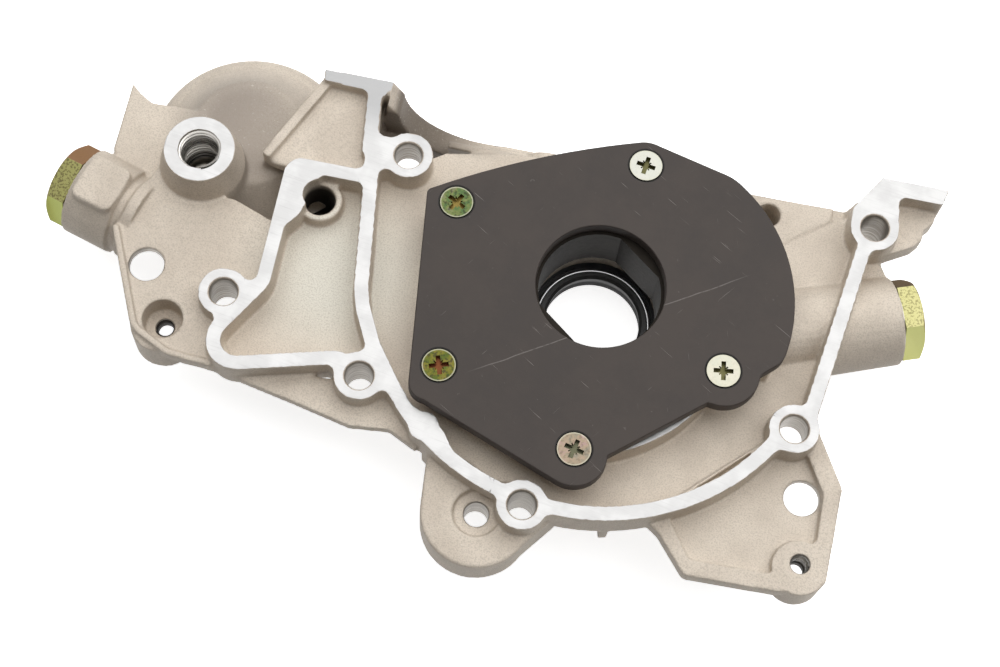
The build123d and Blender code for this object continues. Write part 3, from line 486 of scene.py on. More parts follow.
# Painted shade: the dome below the flange level is mixed toward dark brown, most strongly towards the left
dome = use_group(
    tree,
    round_spot,
    {"Vector": spot, "Centre": places["filter_nipple"], "Radius": dome_radius, "Fade": dome_fade},
)
under_flange = ramp(tree, split_spot.outputs["Z"], -7.4 * mm, -9 * mm)
painted_dome_shade = math_node(tree, "MULTIPLY", dome.outputs["Mask"], under_flange)
leftward = mix_values(tree, ramp(tree, split_spot.outputs["X"], -98 * mm, -140 * mm), 0.45, 0.95)
cast_color = mix_colors(tree, math_node(tree, "MULTIPLY", painted_dome_shade, leftward), cast_color, dome_shade_color)
# Painted shade: the deep wall by the bar, below the rail level, is mixed toward near black-brown
painted_hollow_shade = math_node(
    tree,
    "MULTIPLY",
    ramp(tree, split_spot.outputs["X"], -40 * mm, -66 * mm),
    ramp(tree, split_spot.outputs["Y"], 42 * mm, 46 * mm),
)
painted_hollow_shade = math_node(tree, "MULTIPLY", painted_hollow_shade, ramp(tree, split_spot.outputs["Z"], -2 * mm, -6 * mm))
beside_dome = ramp(tree, split_spot.outputs["X"], -88 * mm, -83 * mm)
painted_hollow_shade = math_node(tree, "MULTIPLY", math_node(tree, "MULTIPLY", painted_hollow_shade, beside_dome), 0.9)
cast_color = mix_colors(tree, painted_hollow_shade, cast_color, hollow_shade_color)
specks = math_node(tree, "MULTIPLY", skin_look.outputs["Specks"], 0.35)
cast_color = mix_colors(tree, specks, cast_color, speck_color)
pits = math_node(tree, "MULTIPLY", ramp(tree, skin_look.outputs["Grain"], 0.56, 0.34), 0.36)
cast_color = mix_colors(tree, pits, cast_color, pit_color)
# Painted shade: the outlet below its lip is coloured near black; the mask is a round column, so the outer end of
# the outlet's boss beneath is darkened as well
outlet = use_group(tree, round_spot, {"Vector": spot, "Centre": outlet_middle, "Radius": outlet_radius})
under_lip = ramp(tree, split_spot.outputs["Z"], -4 * mm, -9 * mm)
painted_outlet_shade = math_node(tree, "MULTIPLY", outlet.outputs["Mask"], under_lip)
cast_color = mix_colors(tree, painted_outlet_shade, cast_color, outlet_shade_color)
face_color = mix_colors(tree, ramp(tree, marks.outputs["Smudges"], 0.38, 0.66), face_dark, face_light)
streaked = math_node(tree, "MULTIPLY", ramp(tree, marks.outputs["Streaks"], 0.52, 0.78), 0.4)
face_color = mix_colors(tree, streaked, face_color, streak_color)
# Painted reflection: the machined face of the bar is made darker grey, standing in for a dimmer reflection there
painted_dim_reflection = math_node(
    tree,
    "MULTIPLY",
    ramp(tree, split_spot.outputs["X"], -62 * mm, -70 * mm),
    ramp(tree, split_spot.outputs["Y"], 36 * mm, 52 * mm),
)
face_color = mix_colors(tree, math_node(tree, "MULTIPLY", painted_dim_reflection, 0.9), face_color, dim_reflection_grey)
turnings = add_node(tree, "ShaderNodeVectorMath", {0: spot, 1: (0.04, 0.04, 1)}, operation="MULTIPLY")
rings = noise(tree, turnings.outputs[0], 2100.0, 2.0, 0.6)
hole_color = mix_colors(tree, ramp(tree, rings, 0.35, 0.65), hole_dark, hole_light)
base_color = mix_colors(tree, machined, cast_color, face_color)
tree.links.new(mix_colors(tree, drilled, base_color, hole_color), shader.inputs["Base Color"])
cast_rough = mix_values(tree, skin_look.outputs["Patches"], 0.50, 0.68)
face_rough = mix_values(tree, marks.outputs["Streaks"], 0.26, 0.44)
rough = mix_values(tree, machined, cast_rough, face_rough)
tree.links.new(mix_values(tree, drilled, rough, 0.36), shader.inputs["Roughness"])
bright = math_node(tree, "MAXIMUM", machined, drilled)
tree.links.new(mix_values(tree, bright, 0.25, 0.92), shader.inputs["Metallic"])
fine = math_node(tree, "MULTIPLY", marks.outputs["Streaks"], 0.12)
surface = mix_values(tree, machined, skin_look.outputs["Height"], fine)
surface = mix_values(tree, drilled, surface, math_node(tree, "MULTIPLY", rings, 0.8))
roughen(tree, shader, surface, 0.14 * mm)
casting.data.materials.append(cast_metal)
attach(casting, "housing")
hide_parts("pump_housing")


# Threads of the switch port, the flange hole and the tab hole
# Cut with taps into the casting. Each is a helical ridge of bright cut metal that stands in from the plain hole of
# the solid. Its colour carries painted light and shade: bright at the crests, near black at the roots and deeper
# in the hole.
def new_tree(name, inputs):
    """Start a Geometry Nodes tree that makes a mesh from named sizes."""
    made = bpy.data.node_groups.new(name, "GeometryNodeTree")
    for label, kind, value in inputs:
        socket = made.interface.new_socket(label, in_out="INPUT", socket_type=kind)
        if value is not None:
            socket.default_value = value
    made.interface.new_socket("Mesh", in_out="OUTPUT", socket_type="NodeSocketGeometry")
    return made, made.nodes.new("NodeGroupInput").outputs, made.nodes.new("NodeGroupOutput").inputs


def close_tree(made, geometry, material, way_out):
    """End a tree with realised instances and a material."""
    real = add_node(made, "GeometryNodeRealizeInstances", {0: geometry})
    painted = add_node(made, "GeometryNodeSetMaterial", {"Geometry": real.outputs[0], "Material": material})
    made.links.new(painted.outputs[0], way_out["Mesh"])


def grown(name, tree, sizes, mesh=None):
    """Object whose mesh is the result of a tree run with the given sizes."""
    piece = bpy.data.objects.new(name, mesh or bpy.data.meshes.new(name))
    scene.collection.objects.link(piece)
    grow = piece.modifiers.new("Shape", "NODES")
    grow.node_group = tree
    sockets = {item.name: item.identifier for item in tree.interface.items_tree if item.in_out == "INPUT"}
    for label, value in sizes.items():
        grow[sockets[label]] = value
    piece.data = baked(piece)
    piece.modifiers.clear()
    return piece


thread_tree, given, way_out = new_tree(
    "Helical thread",
    [
        ("Radius", "NodeSocketFloat", 7.0 * mm),
        ("Pitch", "NodeSocketFloat", 1.5 * mm),
        ("Turns", "NodeSocketFloat", 12.0),
        ("Ridge", "NodeSocketFloat", 0.8 * mm),
        ("Foot", "NodeSocketVector", None),
        ("Material", "NodeSocketMaterial", None),
    ],
)
rise = add_node(
    thread_tree, "ShaderNodeMath", {0: given["Turns"], 1: given["Pitch"]}, operation="MULTIPLY"
)
helix = add_node(
    thread_tree,
    "GeometryNodeCurveSpiral",
    {
        "Resolution": 40,
        "Rotations": given["Turns"],
        "Start Radius": given["Radius"],
        "End Radius": given["Radius"],
        "Height": rise.outputs[0],
    },
)
ridge = add_node(
    thread_tree, "GeometryNodeCurvePrimitiveCircle", {"Resolution": 4, "Radius": given["Ridge"]}
)
swept = add_node(
    thread_tree,
    "GeometryNodeCurveToMesh",
    {"Curve": helix.outputs[0], "Profile Curve": ridge.outputs[0], "Fill Caps": True},
)
point = add_node(thread_tree, "GeometryNodeInputPosition")
level_point = add_node(
    thread_tree, "ShaderNodeVectorMath", {0: point.outputs[0], 1: (1, 1, 0)}, operation="MULTIPLY"
)
from_axis = add_node(thread_tree, "ShaderNodeVectorMath", {0: level_point.outputs[0]}, operation="LENGTH")
out_of_line = math_node(
    thread_tree, "ABSOLUTE", math_node(thread_tree, "SUBTRACT", from_axis.outputs["Value"], given["Radius"])
)
crested = add_node(
    thread_tree,
    "GeometryNodeStoreNamedAttribute",
    {
        "Geometry": swept.outputs[0],
        "Name": "crest",
        "Value": math_node(thread_tree, "DIVIDE", out_of_line, given["Ridge"]),
    },
    data_type="FLOAT",
    domain="POINT",
)
stood = add_node(
    thread_tree, "GeometryNodeTransform", {"Geometry": crested.outputs[0], "Translation": given["Foot"]}
)
close_tree(thread_tree, stood.outputs[0], given["Material"], way_out)

tapped_metal, tree, shader, place = new_material("Tapped aluminium")
marks = use_group(tree, tool_marks, {"Vector": place.outputs["Object"], "Spacing": 900.0})
crest = add_node(tree, "ShaderNodeAttribute", attribute_name="crest")
# Painted light and shade: the crests of the ridge are coloured bright, the roots near black
crest_light_root_shade = mix_colors(
    tree, ramp(tree, crest.outputs["Fac"], 0.45, 0.85), (0.02, 0.017, 0.014), (0.88, 0.85, 0.80)
)
depth = add_node(tree, "ShaderNodeSeparateXYZ", {0: place.outputs["Object"]}).outputs["Z"]
# Painted shade: deeper than 8 mm the thread fades to near black
painted_sunk_shade = ramp(tree, depth, -8 * mm, -18 * mm)
tree.links.new(
    mix_colors(tree, math_node(tree, "MULTIPLY", painted_sunk_shade, 0.9), crest_light_root_shade, (0.02, 0.017, 0.014)),
    shader.inputs["Base Color"],
)
shader.inputs["Metallic"].default_value = 0.9
shader.inputs["Roughness"].default_value = 0.38
roughen(tree, shader, marks.outputs["Streaks"], 0.02 * mm)

for name, mount, foot, pitch, turns in (
    ("switch_thread", "switch_port", -17.0, 2.0, 10.2),
    ("flange_thread", "flange_screw_hole", -21.5, 1.0, 5.4),
    ("tab_thread", "tab_screw_hole", -19.5, 1.0, 12.0),
):
    thread = grown(
        name,
        thread_tree,
        {
            "Radius": hole_radii[mount] + 0.15 * mm,
            "Pitch": pitch * mm,
            "Turns": turns,
            "Ridge": 0.5 * pitch * mm,
            "Foot": Vector((*places[mount].xy, foot * mm)),
            "Material": tapped_metal,
        },
    )
    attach(thread, "housing")


# Crank seal
# A pressed steel case with a black rubber lip bonded to it and a garter spring on the lip. It is pressed
# into the front of the casting.
rubber, tree, shader, place = new_material("Seal rubber")
tone = noise(tree, place.outputs["Object"], 500.0, 3.0)
black = mix_colors(tree, tone, (0.012, 0.012, 0.012), (0.028, 0.027, 0.026))
tree.links.new(black, shader.inputs["Base Color"])
tree.links.new(mix_values(tree, tone, 0.35, 0.55), shader.inputs["Roughness"])
roughen(tree, shader, tone, 0.03 * mm)

sheet_steel, tree, shader, place = new_material("Seal case steel")
marks = use_group(tree, tool_marks, {"Vector": place.outputs["Object"], "Spacing": 1400.0})
metal = mix_colors(tree, marks.outputs["Smudges"], (0.16, 0.16, 0.17), (0.30, 0.30, 0.31))
tree.links.new(metal, shader.inputs["Base Color"])
shader.inputs["Metallic"].default_value = 0.9
shader.inputs["Roughness"].default_value = 0.42
roughen(tree, shader, marks.outputs["Streaks"], 0.015 * mm)


def paint(material, *nodes):
    """Give solids that keep their shape a finished material."""
    for node in nodes:
        frame["nodes"][node].data.materials.clear()
        frame["nodes"][node].data.materials.append(material)


paint(rubber, "seal_lip")
paint(sheet_steel, "seal_case")


# Springs of the seal and the two valves
# Coils of drawn steel wire, bright with a thin film of oil.
spring_wire, tree, shader, place = new_material("Spring wire")
marks = use_group(tree, tool_marks, {"Vector": place.outputs["Object"], "Spacing": 3200.0})
metal = mix_colors(tree, marks.outputs["Smudges"], (0.34, 0.34, 0.35), (0.58, 0.58, 0.59))
tree.links.new(metal, shader.inputs["Base Color"])
shader.inputs["Metallic"].default_value = 1.0
shader.inputs["Roughness"].default_value = 0.28
roughen(tree, shader, marks.outputs["Streaks"], 0.01 * mm)
paint(spring_wire, "seal_garter_spring")
for node, joint_name in (("relief_spring", "relief_lift"), ("bypass_spring", "bypass_lift")):
    joint = next(joint for joint in frame["joints"] if joint["name"] == joint_name)
    push = Vector(joint["axis"])
    coil = own_copy(node, f"{node}_coil")
    coil.data.polygons.foreach_set("use_smooth", [True] * len(coil.data.polygons))
    coil.data.materials.append(spring_wire)
    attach(coil, "housing")
    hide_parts(node)
    reaches = [vertex.co.dot(push) for vertex in coil.data.vertices]
    length = max(reaches) - min(reaches)
    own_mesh(coil)


# Pinion and ring gear
# Sintered and ground steel, coloured nearly black. Only the pinion's bore with its two flats shows in the cover's
# hole.
gear_steel, tree, shader, place = new_material("Gear steel")
marks = use_group(tree, tool_marks, {"Vector": place.outputs["Object"], "Spacing": 1500.0})
tree.links.new(
    mix_colors(tree, marks.outputs["Smudges"], (0.008, 0.007, 0.006), (0.024, 0.020, 0.016)),
    shader.inputs["Base Color"],
)
shader.inputs["Metallic"].default_value = 0.9
shader.inputs["Specular IOR Level"].default_value = 0.2
tree.links.new(mix_values(tree, marks.outputs["Streaks"], 0.42, 0.60), shader.inputs["Roughness"])
roughen(tree, shader, marks.outputs["Streaks"], 0.02 * mm)
paint(gear_steel, "inner_gear", "outer_gear")


# Cover plate
# A blanked steel plate, ground flat and phosphated dark brown, with countersinks for its screws. Handling
# has left fine scratches, small nicks and one long light scratch below the crank hole.
plate_edge = 0.45 * mm
plate_edge_steps = 2
long_scratch_start = Vector((-38.0 * mm, -39.0 * mm))
long_scratch_end = Vector((48.5 * mm, 14.5 * mm))
long_scratch_width = 0.28 * mm
screw_names = [f"cover_screw_{number}" for number in range(1, 6)]
screw_boxes = [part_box(name) for name in screw_names]
sink_radius = 6.0 * mm

scuffs, given, result = new_group(
    "Scuffs",
    [
        ("Vector", "NodeSocketVector", None),
        ("Turn", "NodeSocketFloat", 0.5),
        ("Scale", "NodeSocketFloat", 60.0),
        ("Rarity", "NodeSocketFloat", 0.7),
    ],
    [("Scratches", "NodeSocketFloat"), ("Nicks", "NodeSocketFloat")],
)
turned = add_node(
    scuffs,
    "ShaderNodeVectorRotate",
    {"Vector": given.outputs["Vector"], "Angle": given.outputs["Turn"]},
    rotation_type="Z_AXIS",
)
stretched = add_node(
    scuffs, "ShaderNodeVectorMath", {0: turned.outputs[0], 1: (1.0, 28.0, 1.0)}, operation="MULTIPLY"
)
lines = noise(scuffs, stretched.outputs[0], given.outputs["Scale"], 2.0, 0.5)
above = math_node(scuffs, "ADD", given.outputs["Rarity"], 0.05)
scratch_lines = ramp(scuffs, lines, given.outputs["Rarity"], above)
dots = noise(scuffs, given.outputs["Vector"], 420.0, 3.0, 0.6)
scuffs.links.new(scratch_lines, result.inputs["Scratches"])
scuffs.links.new(ramp(scuffs, dots, 0.70, 0.76), result.inputs["Nicks"])


def rounded_copy(node, name, width, steps, edge_slot=-1):
    """Copy of a node with its flat faces joined and its sharp edges rounded, the edges in their own slot."""
    piece = own_copy(node, name)
    shape = bmesh.new()
    shape.from_mesh(piece.data)
    flat_edges = [e for e in shape.edges if len(e.link_faces) == 2 and e.calc_face_angle() < radians(0.5)]
    bmesh.ops.dissolve_edges(shape, edges=flat_edges, use_verts=True)
    shape.to_mesh(piece.data)
    shape.free()
    rounding = piece.modifiers.new("Edges", "BEVEL")
    rounding.width = width
    rounding.segments = steps
    rounding.limit_method = "ANGLE"
    rounding.angle_limit = radians(40.0)
    rounding.harden_normals = True
    rounding.material = edge_slot
    piece.data = baked(piece)
    piece.modifiers.clear()
    return piece


cover = rounded_copy("cover_plate", "dark_cover", plate_edge, plate_edge_steps)
shade_evenly(cover)

phosphate, tree, shader, place = new_material("Phosphated steel")
spot = place.outputs["Object"]
patches = noise(tree, spot, 55.0, 5.0, 0.6)
grain = noise(tree, spot, 2400.0, 2.0, 0.6)
plate_color = mix_colors(tree, ramp(tree, patches, 0.3, 0.7), (0.034, 0.026, 0.022), (0.050, 0.039, 0.033))
wear = None
for turn, scale, rarity, weight in (
    (0.55, 70.0, 0.72, 0.5),
    (2.2, 95.0, 0.75, 0.35),
    (1.3, 130.0, 0.76, 0.3),
):
    marks = use_group(tree, scuffs, {"Vector": spot, "Turn": turn, "Scale": scale, "Rarity": rarity})
    light = math_node(tree, "MULTIPLY", marks.outputs["Scratches"], weight)
    wear = light if wear is None else math_node(tree, "MAXIMUM", wear, light)
along = long_scratch_end - long_scratch_start
laid = add_node(
    tree,
    "ShaderNodeMapping",
    {
        "Vector": spot,
        "Location": (*long_scratch_start, 0),
        "Rotation": (0, 0, along.angle_signed(Vector((1, 0)))),
    },
    vector_type="TEXTURE",
)
strip = add_node(tree, "ShaderNodeSeparateXYZ", {0: laid.outputs[0]})
wander = math_node(tree, "MULTIPLY_ADD", noise(tree, spot, 90.0, 2.0), 0.9 * mm, -0.45 * mm)
off_line = math_node(tree, "ABSOLUTE", math_node(tree, "ADD", strip.outputs["Y"], wander))
on_line = ramp(tree, off_line, long_scratch_width, 0.0)
within = math_node(
    tree,
    "MULTIPLY",
    ramp(tree, strip.outputs["X"], 0.0, 12 * mm),
    ramp(tree, strip.outputs["X"], along.length, along.length - 12 * mm),
)
broken = ramp(tree, noise(tree, spot, 500.0, 2.0), 0.2, 0.5)
long_scratch = math_node(tree, "MULTIPLY", math_node(tree, "MULTIPLY", on_line, within), broken)
wear = math_node(tree, "MAXIMUM", wear, math_node(tree, "MULTIPLY", long_scratch, 0.45))
wear = math_node(tree, "MAXIMUM", wear, math_node(tree, "MULTIPLY", marks.outputs["Nicks"], 0.12))
worn = mix_colors(tree, wear, plate_color, (0.34, 0.31, 0.29))
# Painted shade: a ring round each screw head, in the countersink, is coloured near black
painted_sunk_shade = 0.0
for low, high in screw_boxes:
    ring = use_group(tree, round_spot, {"Vector": spot, "Centre": (low + high) / 2, "Radius": sink_radius})
    painted_sunk_shade = math_node(tree, "MAXIMUM", ring.outputs["Mask"], painted_sunk_shade)
tree.links.new(mix_colors(tree, painted_sunk_shade, worn, (0.006, 0.005, 0.004)), shader.inputs["Base Color"])
shader.inputs["Specular IOR Level"].default_value = 0.35
tree.links.new(mix_values(tree, patches, 0.52, 0.66), shader.inputs["Roughness"])
relief_height = math_node(tree, "SUBTRACT", grain, math_node(tree, "MULTIPLY", wear, 0.8))
roughen(tree, shader, relief_height, 0.02 * mm)
cover.data.materials.clear()
cover.data.materials.append(phosphate)
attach(cover, "housing")
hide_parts("cover_plate")


# Cover screws
# Countersunk steel screws with a cross recess, zinc-plated and passivated yellow. Each head shows its own
# play of yellow, olive, green and pink.
head_radius = 5.45 * mm
head_rim = 0.35 * mm
rim_width = 0.5 * mm
rim_fade = 0.25 * mm
cone_drop = 2.4 * mm
shank_radius = 2.75 * mm
shank_length = 13.0 * mm
recess_arm = 6.4 * mm
recess_width = 1.5 * mm
recess_depth = 2.0 * mm
head_sides = 56
head_level = screw_boxes[0][1].z
screw_turns = (-28.0, -8.0, 18.0, -13.0, 7.5)
head_colors = (
    (0.075, 0.095, 0.065, 0.9),
    (0.34, 0.34, 0.31, 0.05),
    (0.075, 0.075, 0.022, 0.9),
    (0.185, 0.146, 0.138, 0.4),
    (0.35, 0.34, 0.29, 0.08),
)
slot_colors = (
    (0.14, 0.10, 0.025, 1.0),
    (0.08, 0.075, 0.03, 1.0),
    (0.10, 0.032, 0.01, 1.0),
    (0.075, 0.075, 0.045, 1.0),
    (0.08, 0.075, 0.03, 1.0),
)

screw_tree, given, way_out = new_tree(
    "Cover screws",
    [
        ("Places", "NodeSocketGeometry", None),
        ("Head radius", "NodeSocketFloat", head_radius),
        ("Rim", "NodeSocketFloat", head_rim),
        ("Cone", "NodeSocketFloat", cone_drop),
        ("Shank radius", "NodeSocketFloat", shank_radius),
        ("Shank length", "NodeSocketFloat", shank_length),
        ("Recess arm", "NodeSocketFloat", recess_arm),
        ("Recess width", "NodeSocketFloat", recess_width),
        ("Recess depth", "NodeSocketFloat", recess_depth),
        ("Material", "NodeSocketMaterial", None),
    ],
)


def along_z(tree, geometry, height):
    """Geometry moved along Z by a height."""
    offset = add_node(tree, "ShaderNodeCombineXYZ", {"Z": height})
    moved = add_node(tree, "GeometryNodeTransform", {"Geometry": geometry, "Translation": offset.outputs[0]})
    return moved.outputs[0]


def minus(tree, value, factor=-1.0):
    """Value times a factor, to point it down or to halve it."""
    return add_node(tree, "ShaderNodeMath", {0: value, 1: factor}, operation="MULTIPLY").outputs[0]


rim = add_node(
    screw_tree,
    "GeometryNodeMeshCylinder",
    {"Vertices": head_sides, "Radius": given["Head radius"], "Depth": given["Rim"]},
)
cone = add_node(
    screw_tree,
    "GeometryNodeMeshCone",
    {
        "Vertices": head_sides,
        "Radius Top": given["Head radius"],
        "Radius Bottom": given["Shank radius"],
        "Depth": given["Cone"],
    },
)
shank = add_node(
    screw_tree,
    "GeometryNodeMeshCylinder",
    {"Vertices": 24, "Radius": given["Shank radius"], "Depth": given["Shank length"]},
)
rim_place = along_z(screw_tree, rim.outputs[0], minus(screw_tree, given["Rim"], -0.5))
cone_base = add_node(
    screw_tree, "ShaderNodeMath", {0: given["Rim"], 1: given["Cone"]}, operation="ADD"
).outputs[0]
cone_place = along_z(screw_tree, cone.outputs[0], minus(screw_tree, cone_base))
shank_low = add_node(
    screw_tree,
    "ShaderNodeMath",
    {0: given["Shank length"], 1: 0.5, 2: given["Cone"]},
    operation="MULTIPLY_ADD",
).outputs[0]
shank_place = along_z(screw_tree, shank.outputs[0], minus(screw_tree, shank_low))
blank = add_node(screw_tree, "GeometryNodeMeshBoolean", operation="UNION", solver="EXACT")
for body in (rim_place, cone_place, shank_place):
    screw_tree.links.new(body, blank.inputs["Mesh 2"])
arms = add_node(screw_tree, "GeometryNodeJoinGeometry")
double_depth = minus(screw_tree, given["Recess depth"], 2.0)
for turn, length, width in ((0.0, 1.0, 1.0), (90.0, 1.0, 1.0), (45.0, 0.62, 0.32), (135.0, 0.62, 0.32)):
    size = add_node(
        screw_tree,
        "ShaderNodeCombineXYZ",
        {
            "X": minus(screw_tree, given["Recess arm"], length),
            "Y": minus(screw_tree, given["Recess width"], width),
            "Z": minus(screw_tree, double_depth, length),
        },
    )
    arm = add_node(screw_tree, "GeometryNodeMeshCube", {"Size": size.outputs[0]})
    turned_arm = add_node(
        screw_tree,
        "GeometryNodeTransform",
        {"Geometry": arm.outputs[0], "Rotation": Euler((0, 0, radians(turn)))},
    )
    screw_tree.links.new(turned_arm.outputs[0], arms.inputs[0])
recessed = add_node(
    screw_tree,
    "GeometryNodeMeshBoolean",
    {"Mesh 1": blank.outputs[0], "Mesh 2": arms.outputs[0], "Self Intersection": True},
    operation="DIFFERENCE",
    solver="EXACT",
)
turn_of = add_node(screw_tree, "GeometryNodeInputNamedAttribute", {"Name": "turn"}, data_type="FLOAT")
spin = add_node(screw_tree, "ShaderNodeCombineXYZ", {"Z": turn_of.outputs[0]})
spots = add_node(screw_tree, "GeometryNodeMeshToPoints", {"Mesh": given["Places"]})
screws_placed = add_node(
    screw_tree,
    "GeometryNodeInstanceOnPoints",
    {"Points": spots.outputs[0], "Instance": recessed.outputs[0], "Rotation": spin.outputs[0]},
)
close_tree(screw_tree, screws_placed.outputs[0], given["Material"], way_out)

# Zinc film, shared by the screws, the plugs and the nipple: patches of the passivation's colours
zinc_film, given, result = new_group(
    "Zinc film",
    [
        ("Vector", "NodeSocketVector", None),
        ("Shift", "NodeSocketFloat", 0.5),
        ("Patch", "NodeSocketFloat", 120.0),
        ("Spread", "NodeSocketFloat", 0.6),
    ],
    [("Color", "NodeSocketColor"), ("Speckle", "NodeSocketFloat")],
)
film = noise(zinc_film, given.outputs["Vector"], given.outputs["Patch"], 3.0, 0.6)
centred = math_node(zinc_film, "SUBTRACT", film, 0.5)
position = math_node(zinc_film, "MULTIPLY_ADD", centred, given.outputs["Spread"], given.outputs["Shift"])
band = add_node(zinc_film, "ShaderNodeValToRGB", {"Fac": position})
film_colors = (
    (0.0, (0.30, 0.42, 0.20)),
    (0.18, (0.46, 0.52, 0.22)),
    (0.34, (0.62, 0.58, 0.24)),
    (0.48, (0.72, 0.66, 0.36)),
    (0.62, (0.70, 0.50, 0.42)),
    (0.74, (0.78, 0.70, 0.60)),
    (1.0, (0.93, 0.92, 0.84)),
)
stops = band.color_ramp.elements
while len(stops) < len(film_colors):
    stops.new(0.5)
for stop, (where, color) in zip(stops, film_colors):
    stop.position = where
    stop.color = (*color, 1)
speckle = noise(zinc_film, given.outputs["Vector"], 1500.0, 2.0, 0.7)
zinc_film.links.new(band.outputs["Color"], result.inputs["Color"])
zinc_film.links.new(speckle, result.inputs["Speckle"])

screw_zinc, tree, shader, place = new_material("Zinc-plated screw")
spot = place.outputs["Object"]
head = add_node(tree, "ShaderNodeAttribute", attribute_name="head").outputs
slot = add_node(tree, "ShaderNodeAttribute", attribute_name="slot").outputs["Color"]
film = use_group(tree, zinc_film, {"Vector": spot, "Shift": 0.3, "Patch": 420.0, "Spread": 2.2})
tinted = add_node(
    tree,
    "ShaderNodeMix",
    {"Factor": head["Alpha"], 6: head["Color"], 7: film.outputs["Color"]},
    data_type="RGBA",
    blend_type="OVERLAY",
).outputs[2]
flecks = ramp(tree, noise(tree, spot, 950.0, 2.0, 0.6), 0.50, 0.64)
flecks = math_node(tree, "MULTIPLY", math_node(tree, "MULTIPLY", flecks, head["Alpha"]), 0.8)
tinted = mix_colors(tree, flecks, tinted, (0.020, 0.020, 0.010))
inside = 0.0
for low, high in screw_boxes:
    disc = use_group(
        tree,
        round_spot,
        {"Vector": spot, "Centre": (low + high) / 2, "Radius": head_radius - rim_width, "Fade": rim_fade},
    )
    inside = math_node(tree, "MAXIMUM", disc.outputs["Mask"], inside)
rim_glint = math_node(tree, "MULTIPLY", math_node(tree, "SUBTRACT", 1.0, inside), 0.55)
tinted = mix_colors(tree, rim_glint, tinted, (0.33, 0.32, 0.25))
inset = add_node(tree, "ShaderNodeSeparateXYZ", {0: spot})
below = ramp(tree, inset.outputs["Z"], head_level - 0.12 * mm, head_level - 0.5 * mm)
tree.links.new(mix_colors(tree, below, tinted, slot), shader.inputs["Base Color"])
shader.inputs["Metallic"].default_value = 0.85
tree.links.new(mix_values(tree, film.outputs["Speckle"], 0.22, 0.42), shader.inputs["Roughness"])
roughen(tree, shader, film.outputs["Speckle"], 0.015 * mm)

screw_spots = bpy.data.meshes.new("screw_spots")
screw_spots.from_pydata(
    [((low.x + high.x) / 2, (low.y + high.y) / 2, high.z) for low, high in screw_boxes], [], []
)
turns = screw_spots.attributes.new("turn", "FLOAT", "POINT")
turns.data.foreach_set("value", [radians(turn) for turn in screw_turns])
for label, colors in (("head", head_colors), ("slot", slot_colors)):
    tints = screw_spots.attributes.new(label, "FLOAT_COLOR", "POINT")
    tints.data.foreach_set("color", [value for color in colors for value in color])
cover_screws = grown("cover_screws", screw_tree, {"Material": screw_zinc}, screw_spots)
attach(cover_screws, "housing")
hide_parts(*screw_names)


# Hexagon plugs and their washers
# Turned steel plugs, zinc-plated and passivated yellow, each screwed down on a soft aluminium ring. Their facets
# lean to green, yellow or pink by which way they face, and this carries painted light and shade as well: the
# facets turned toward +Y are darkest.
hex_edge = 0.35 * mm

bright_edge, tree, shader, place = new_material("Zinc on a corner")
glint = noise(tree, place.outputs["Object"], 600.0, 3.0)
tree.links.new(mix_colors(tree, glint, (0.38, 0.36, 0.20), (0.56, 0.54, 0.40)), shader.inputs["Base Color"])
shader.inputs["Metallic"].default_value = 0.9
shader.inputs["Roughness"].default_value = 0.3
roughen(tree, shader, glint, 0.02 * mm)

for node, name, speckle, top_tint_and_shade, middle_tint, low_tint_and_light in (
    ("relief_plug", "right_plug", 0.60, (0.045, 0.030, 0.018), (0.34, 0.325, 0.15), (0.42, 0.43, 0.17)),
    ("gallery_plug", "left_plug", 0.90, (0.195, 0.10, 0.07), (0.20, 0.195, 0.07), (0.30, 0.34, 0.12)),
):
    plug = rounded_copy(node, name, hex_edge, 2, 1)
    plug_zinc, tree, shader, place = new_material(f"Zinc of {name}")
    spot = place.outputs["Object"]
    film = use_group(tree, zinc_film, {"Vector": spot, "Shift": 0.42, "Patch": 75.0, "Spread": 0.6})
    leaning = add_node(tree, "ShaderNodeSeparateXYZ", {0: place.outputs["Normal"]}).outputs["Y"]
    # Facet tints follow the facing: the film's colours plus painted shade on facets turned toward +Y and painted
    # light on those turned toward -Y
    facets = mix_colors(tree, ramp(tree, leaning, 0.2, 0.35), middle_tint, top_tint_and_shade)
    facets = mix_colors(tree, ramp(tree, leaning, -0.38, -0.5), facets, low_tint_and_light)
    facets = mix_colors(tree, 0.08, facets, film.outputs["Color"])
    pits = ramp(tree, noise(tree, spot, 1300.0, 2.0, 0.7), 0.49, 0.60)
    level = math_node(tree, "LESS_THAN", math_node(tree, "ABSOLUTE", leaning), 0.32)
    pits = math_node(tree, "MULTIPLY", math_node(tree, "MULTIPLY", pits, level), speckle)
    facets = mix_colors(tree, pits, facets, (0.10, 0.085, 0.04))
    tree.links.new(facets, shader.inputs["Base Color"])
    shader.inputs["Metallic"].default_value = 0.85
    shader.inputs["Specular Tint"].default_value = (0.35, 0.28, 0.18, 1)
    tree.links.new(mix_values(tree, film.outputs["Speckle"], 0.30, 0.50), shader.inputs["Roughness"])
    roughen(tree, shader, film.outputs["Speckle"], 0.03 * mm)
    plug.data.materials.clear()
    plug.data.materials.append(plug_zinc)
    plug.data.materials.append(bright_edge)
    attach(plug, "housing")
    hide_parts(node)

soft_ring, tree, shader, place = new_material("Washer aluminium")
marks = use_group(tree, tool_marks, {"Vector": place.outputs["Object"], "Spacing": 1800.0})
metal = mix_colors(tree, marks.outputs["Smudges"], (0.52, 0.51, 0.50), (0.74, 0.73, 0.72))
tree.links.new(metal, shader.inputs["Base Color"])
shader.inputs["Metallic"].default_value = 0.9
shader.inputs["Roughness"].default_value = 0.4
roughen(tree, shader, marks.outputs["Streaks"], 0.02 * mm)
paint(soft_ring, "relief_plug_washer", "gallery_plug_washer")


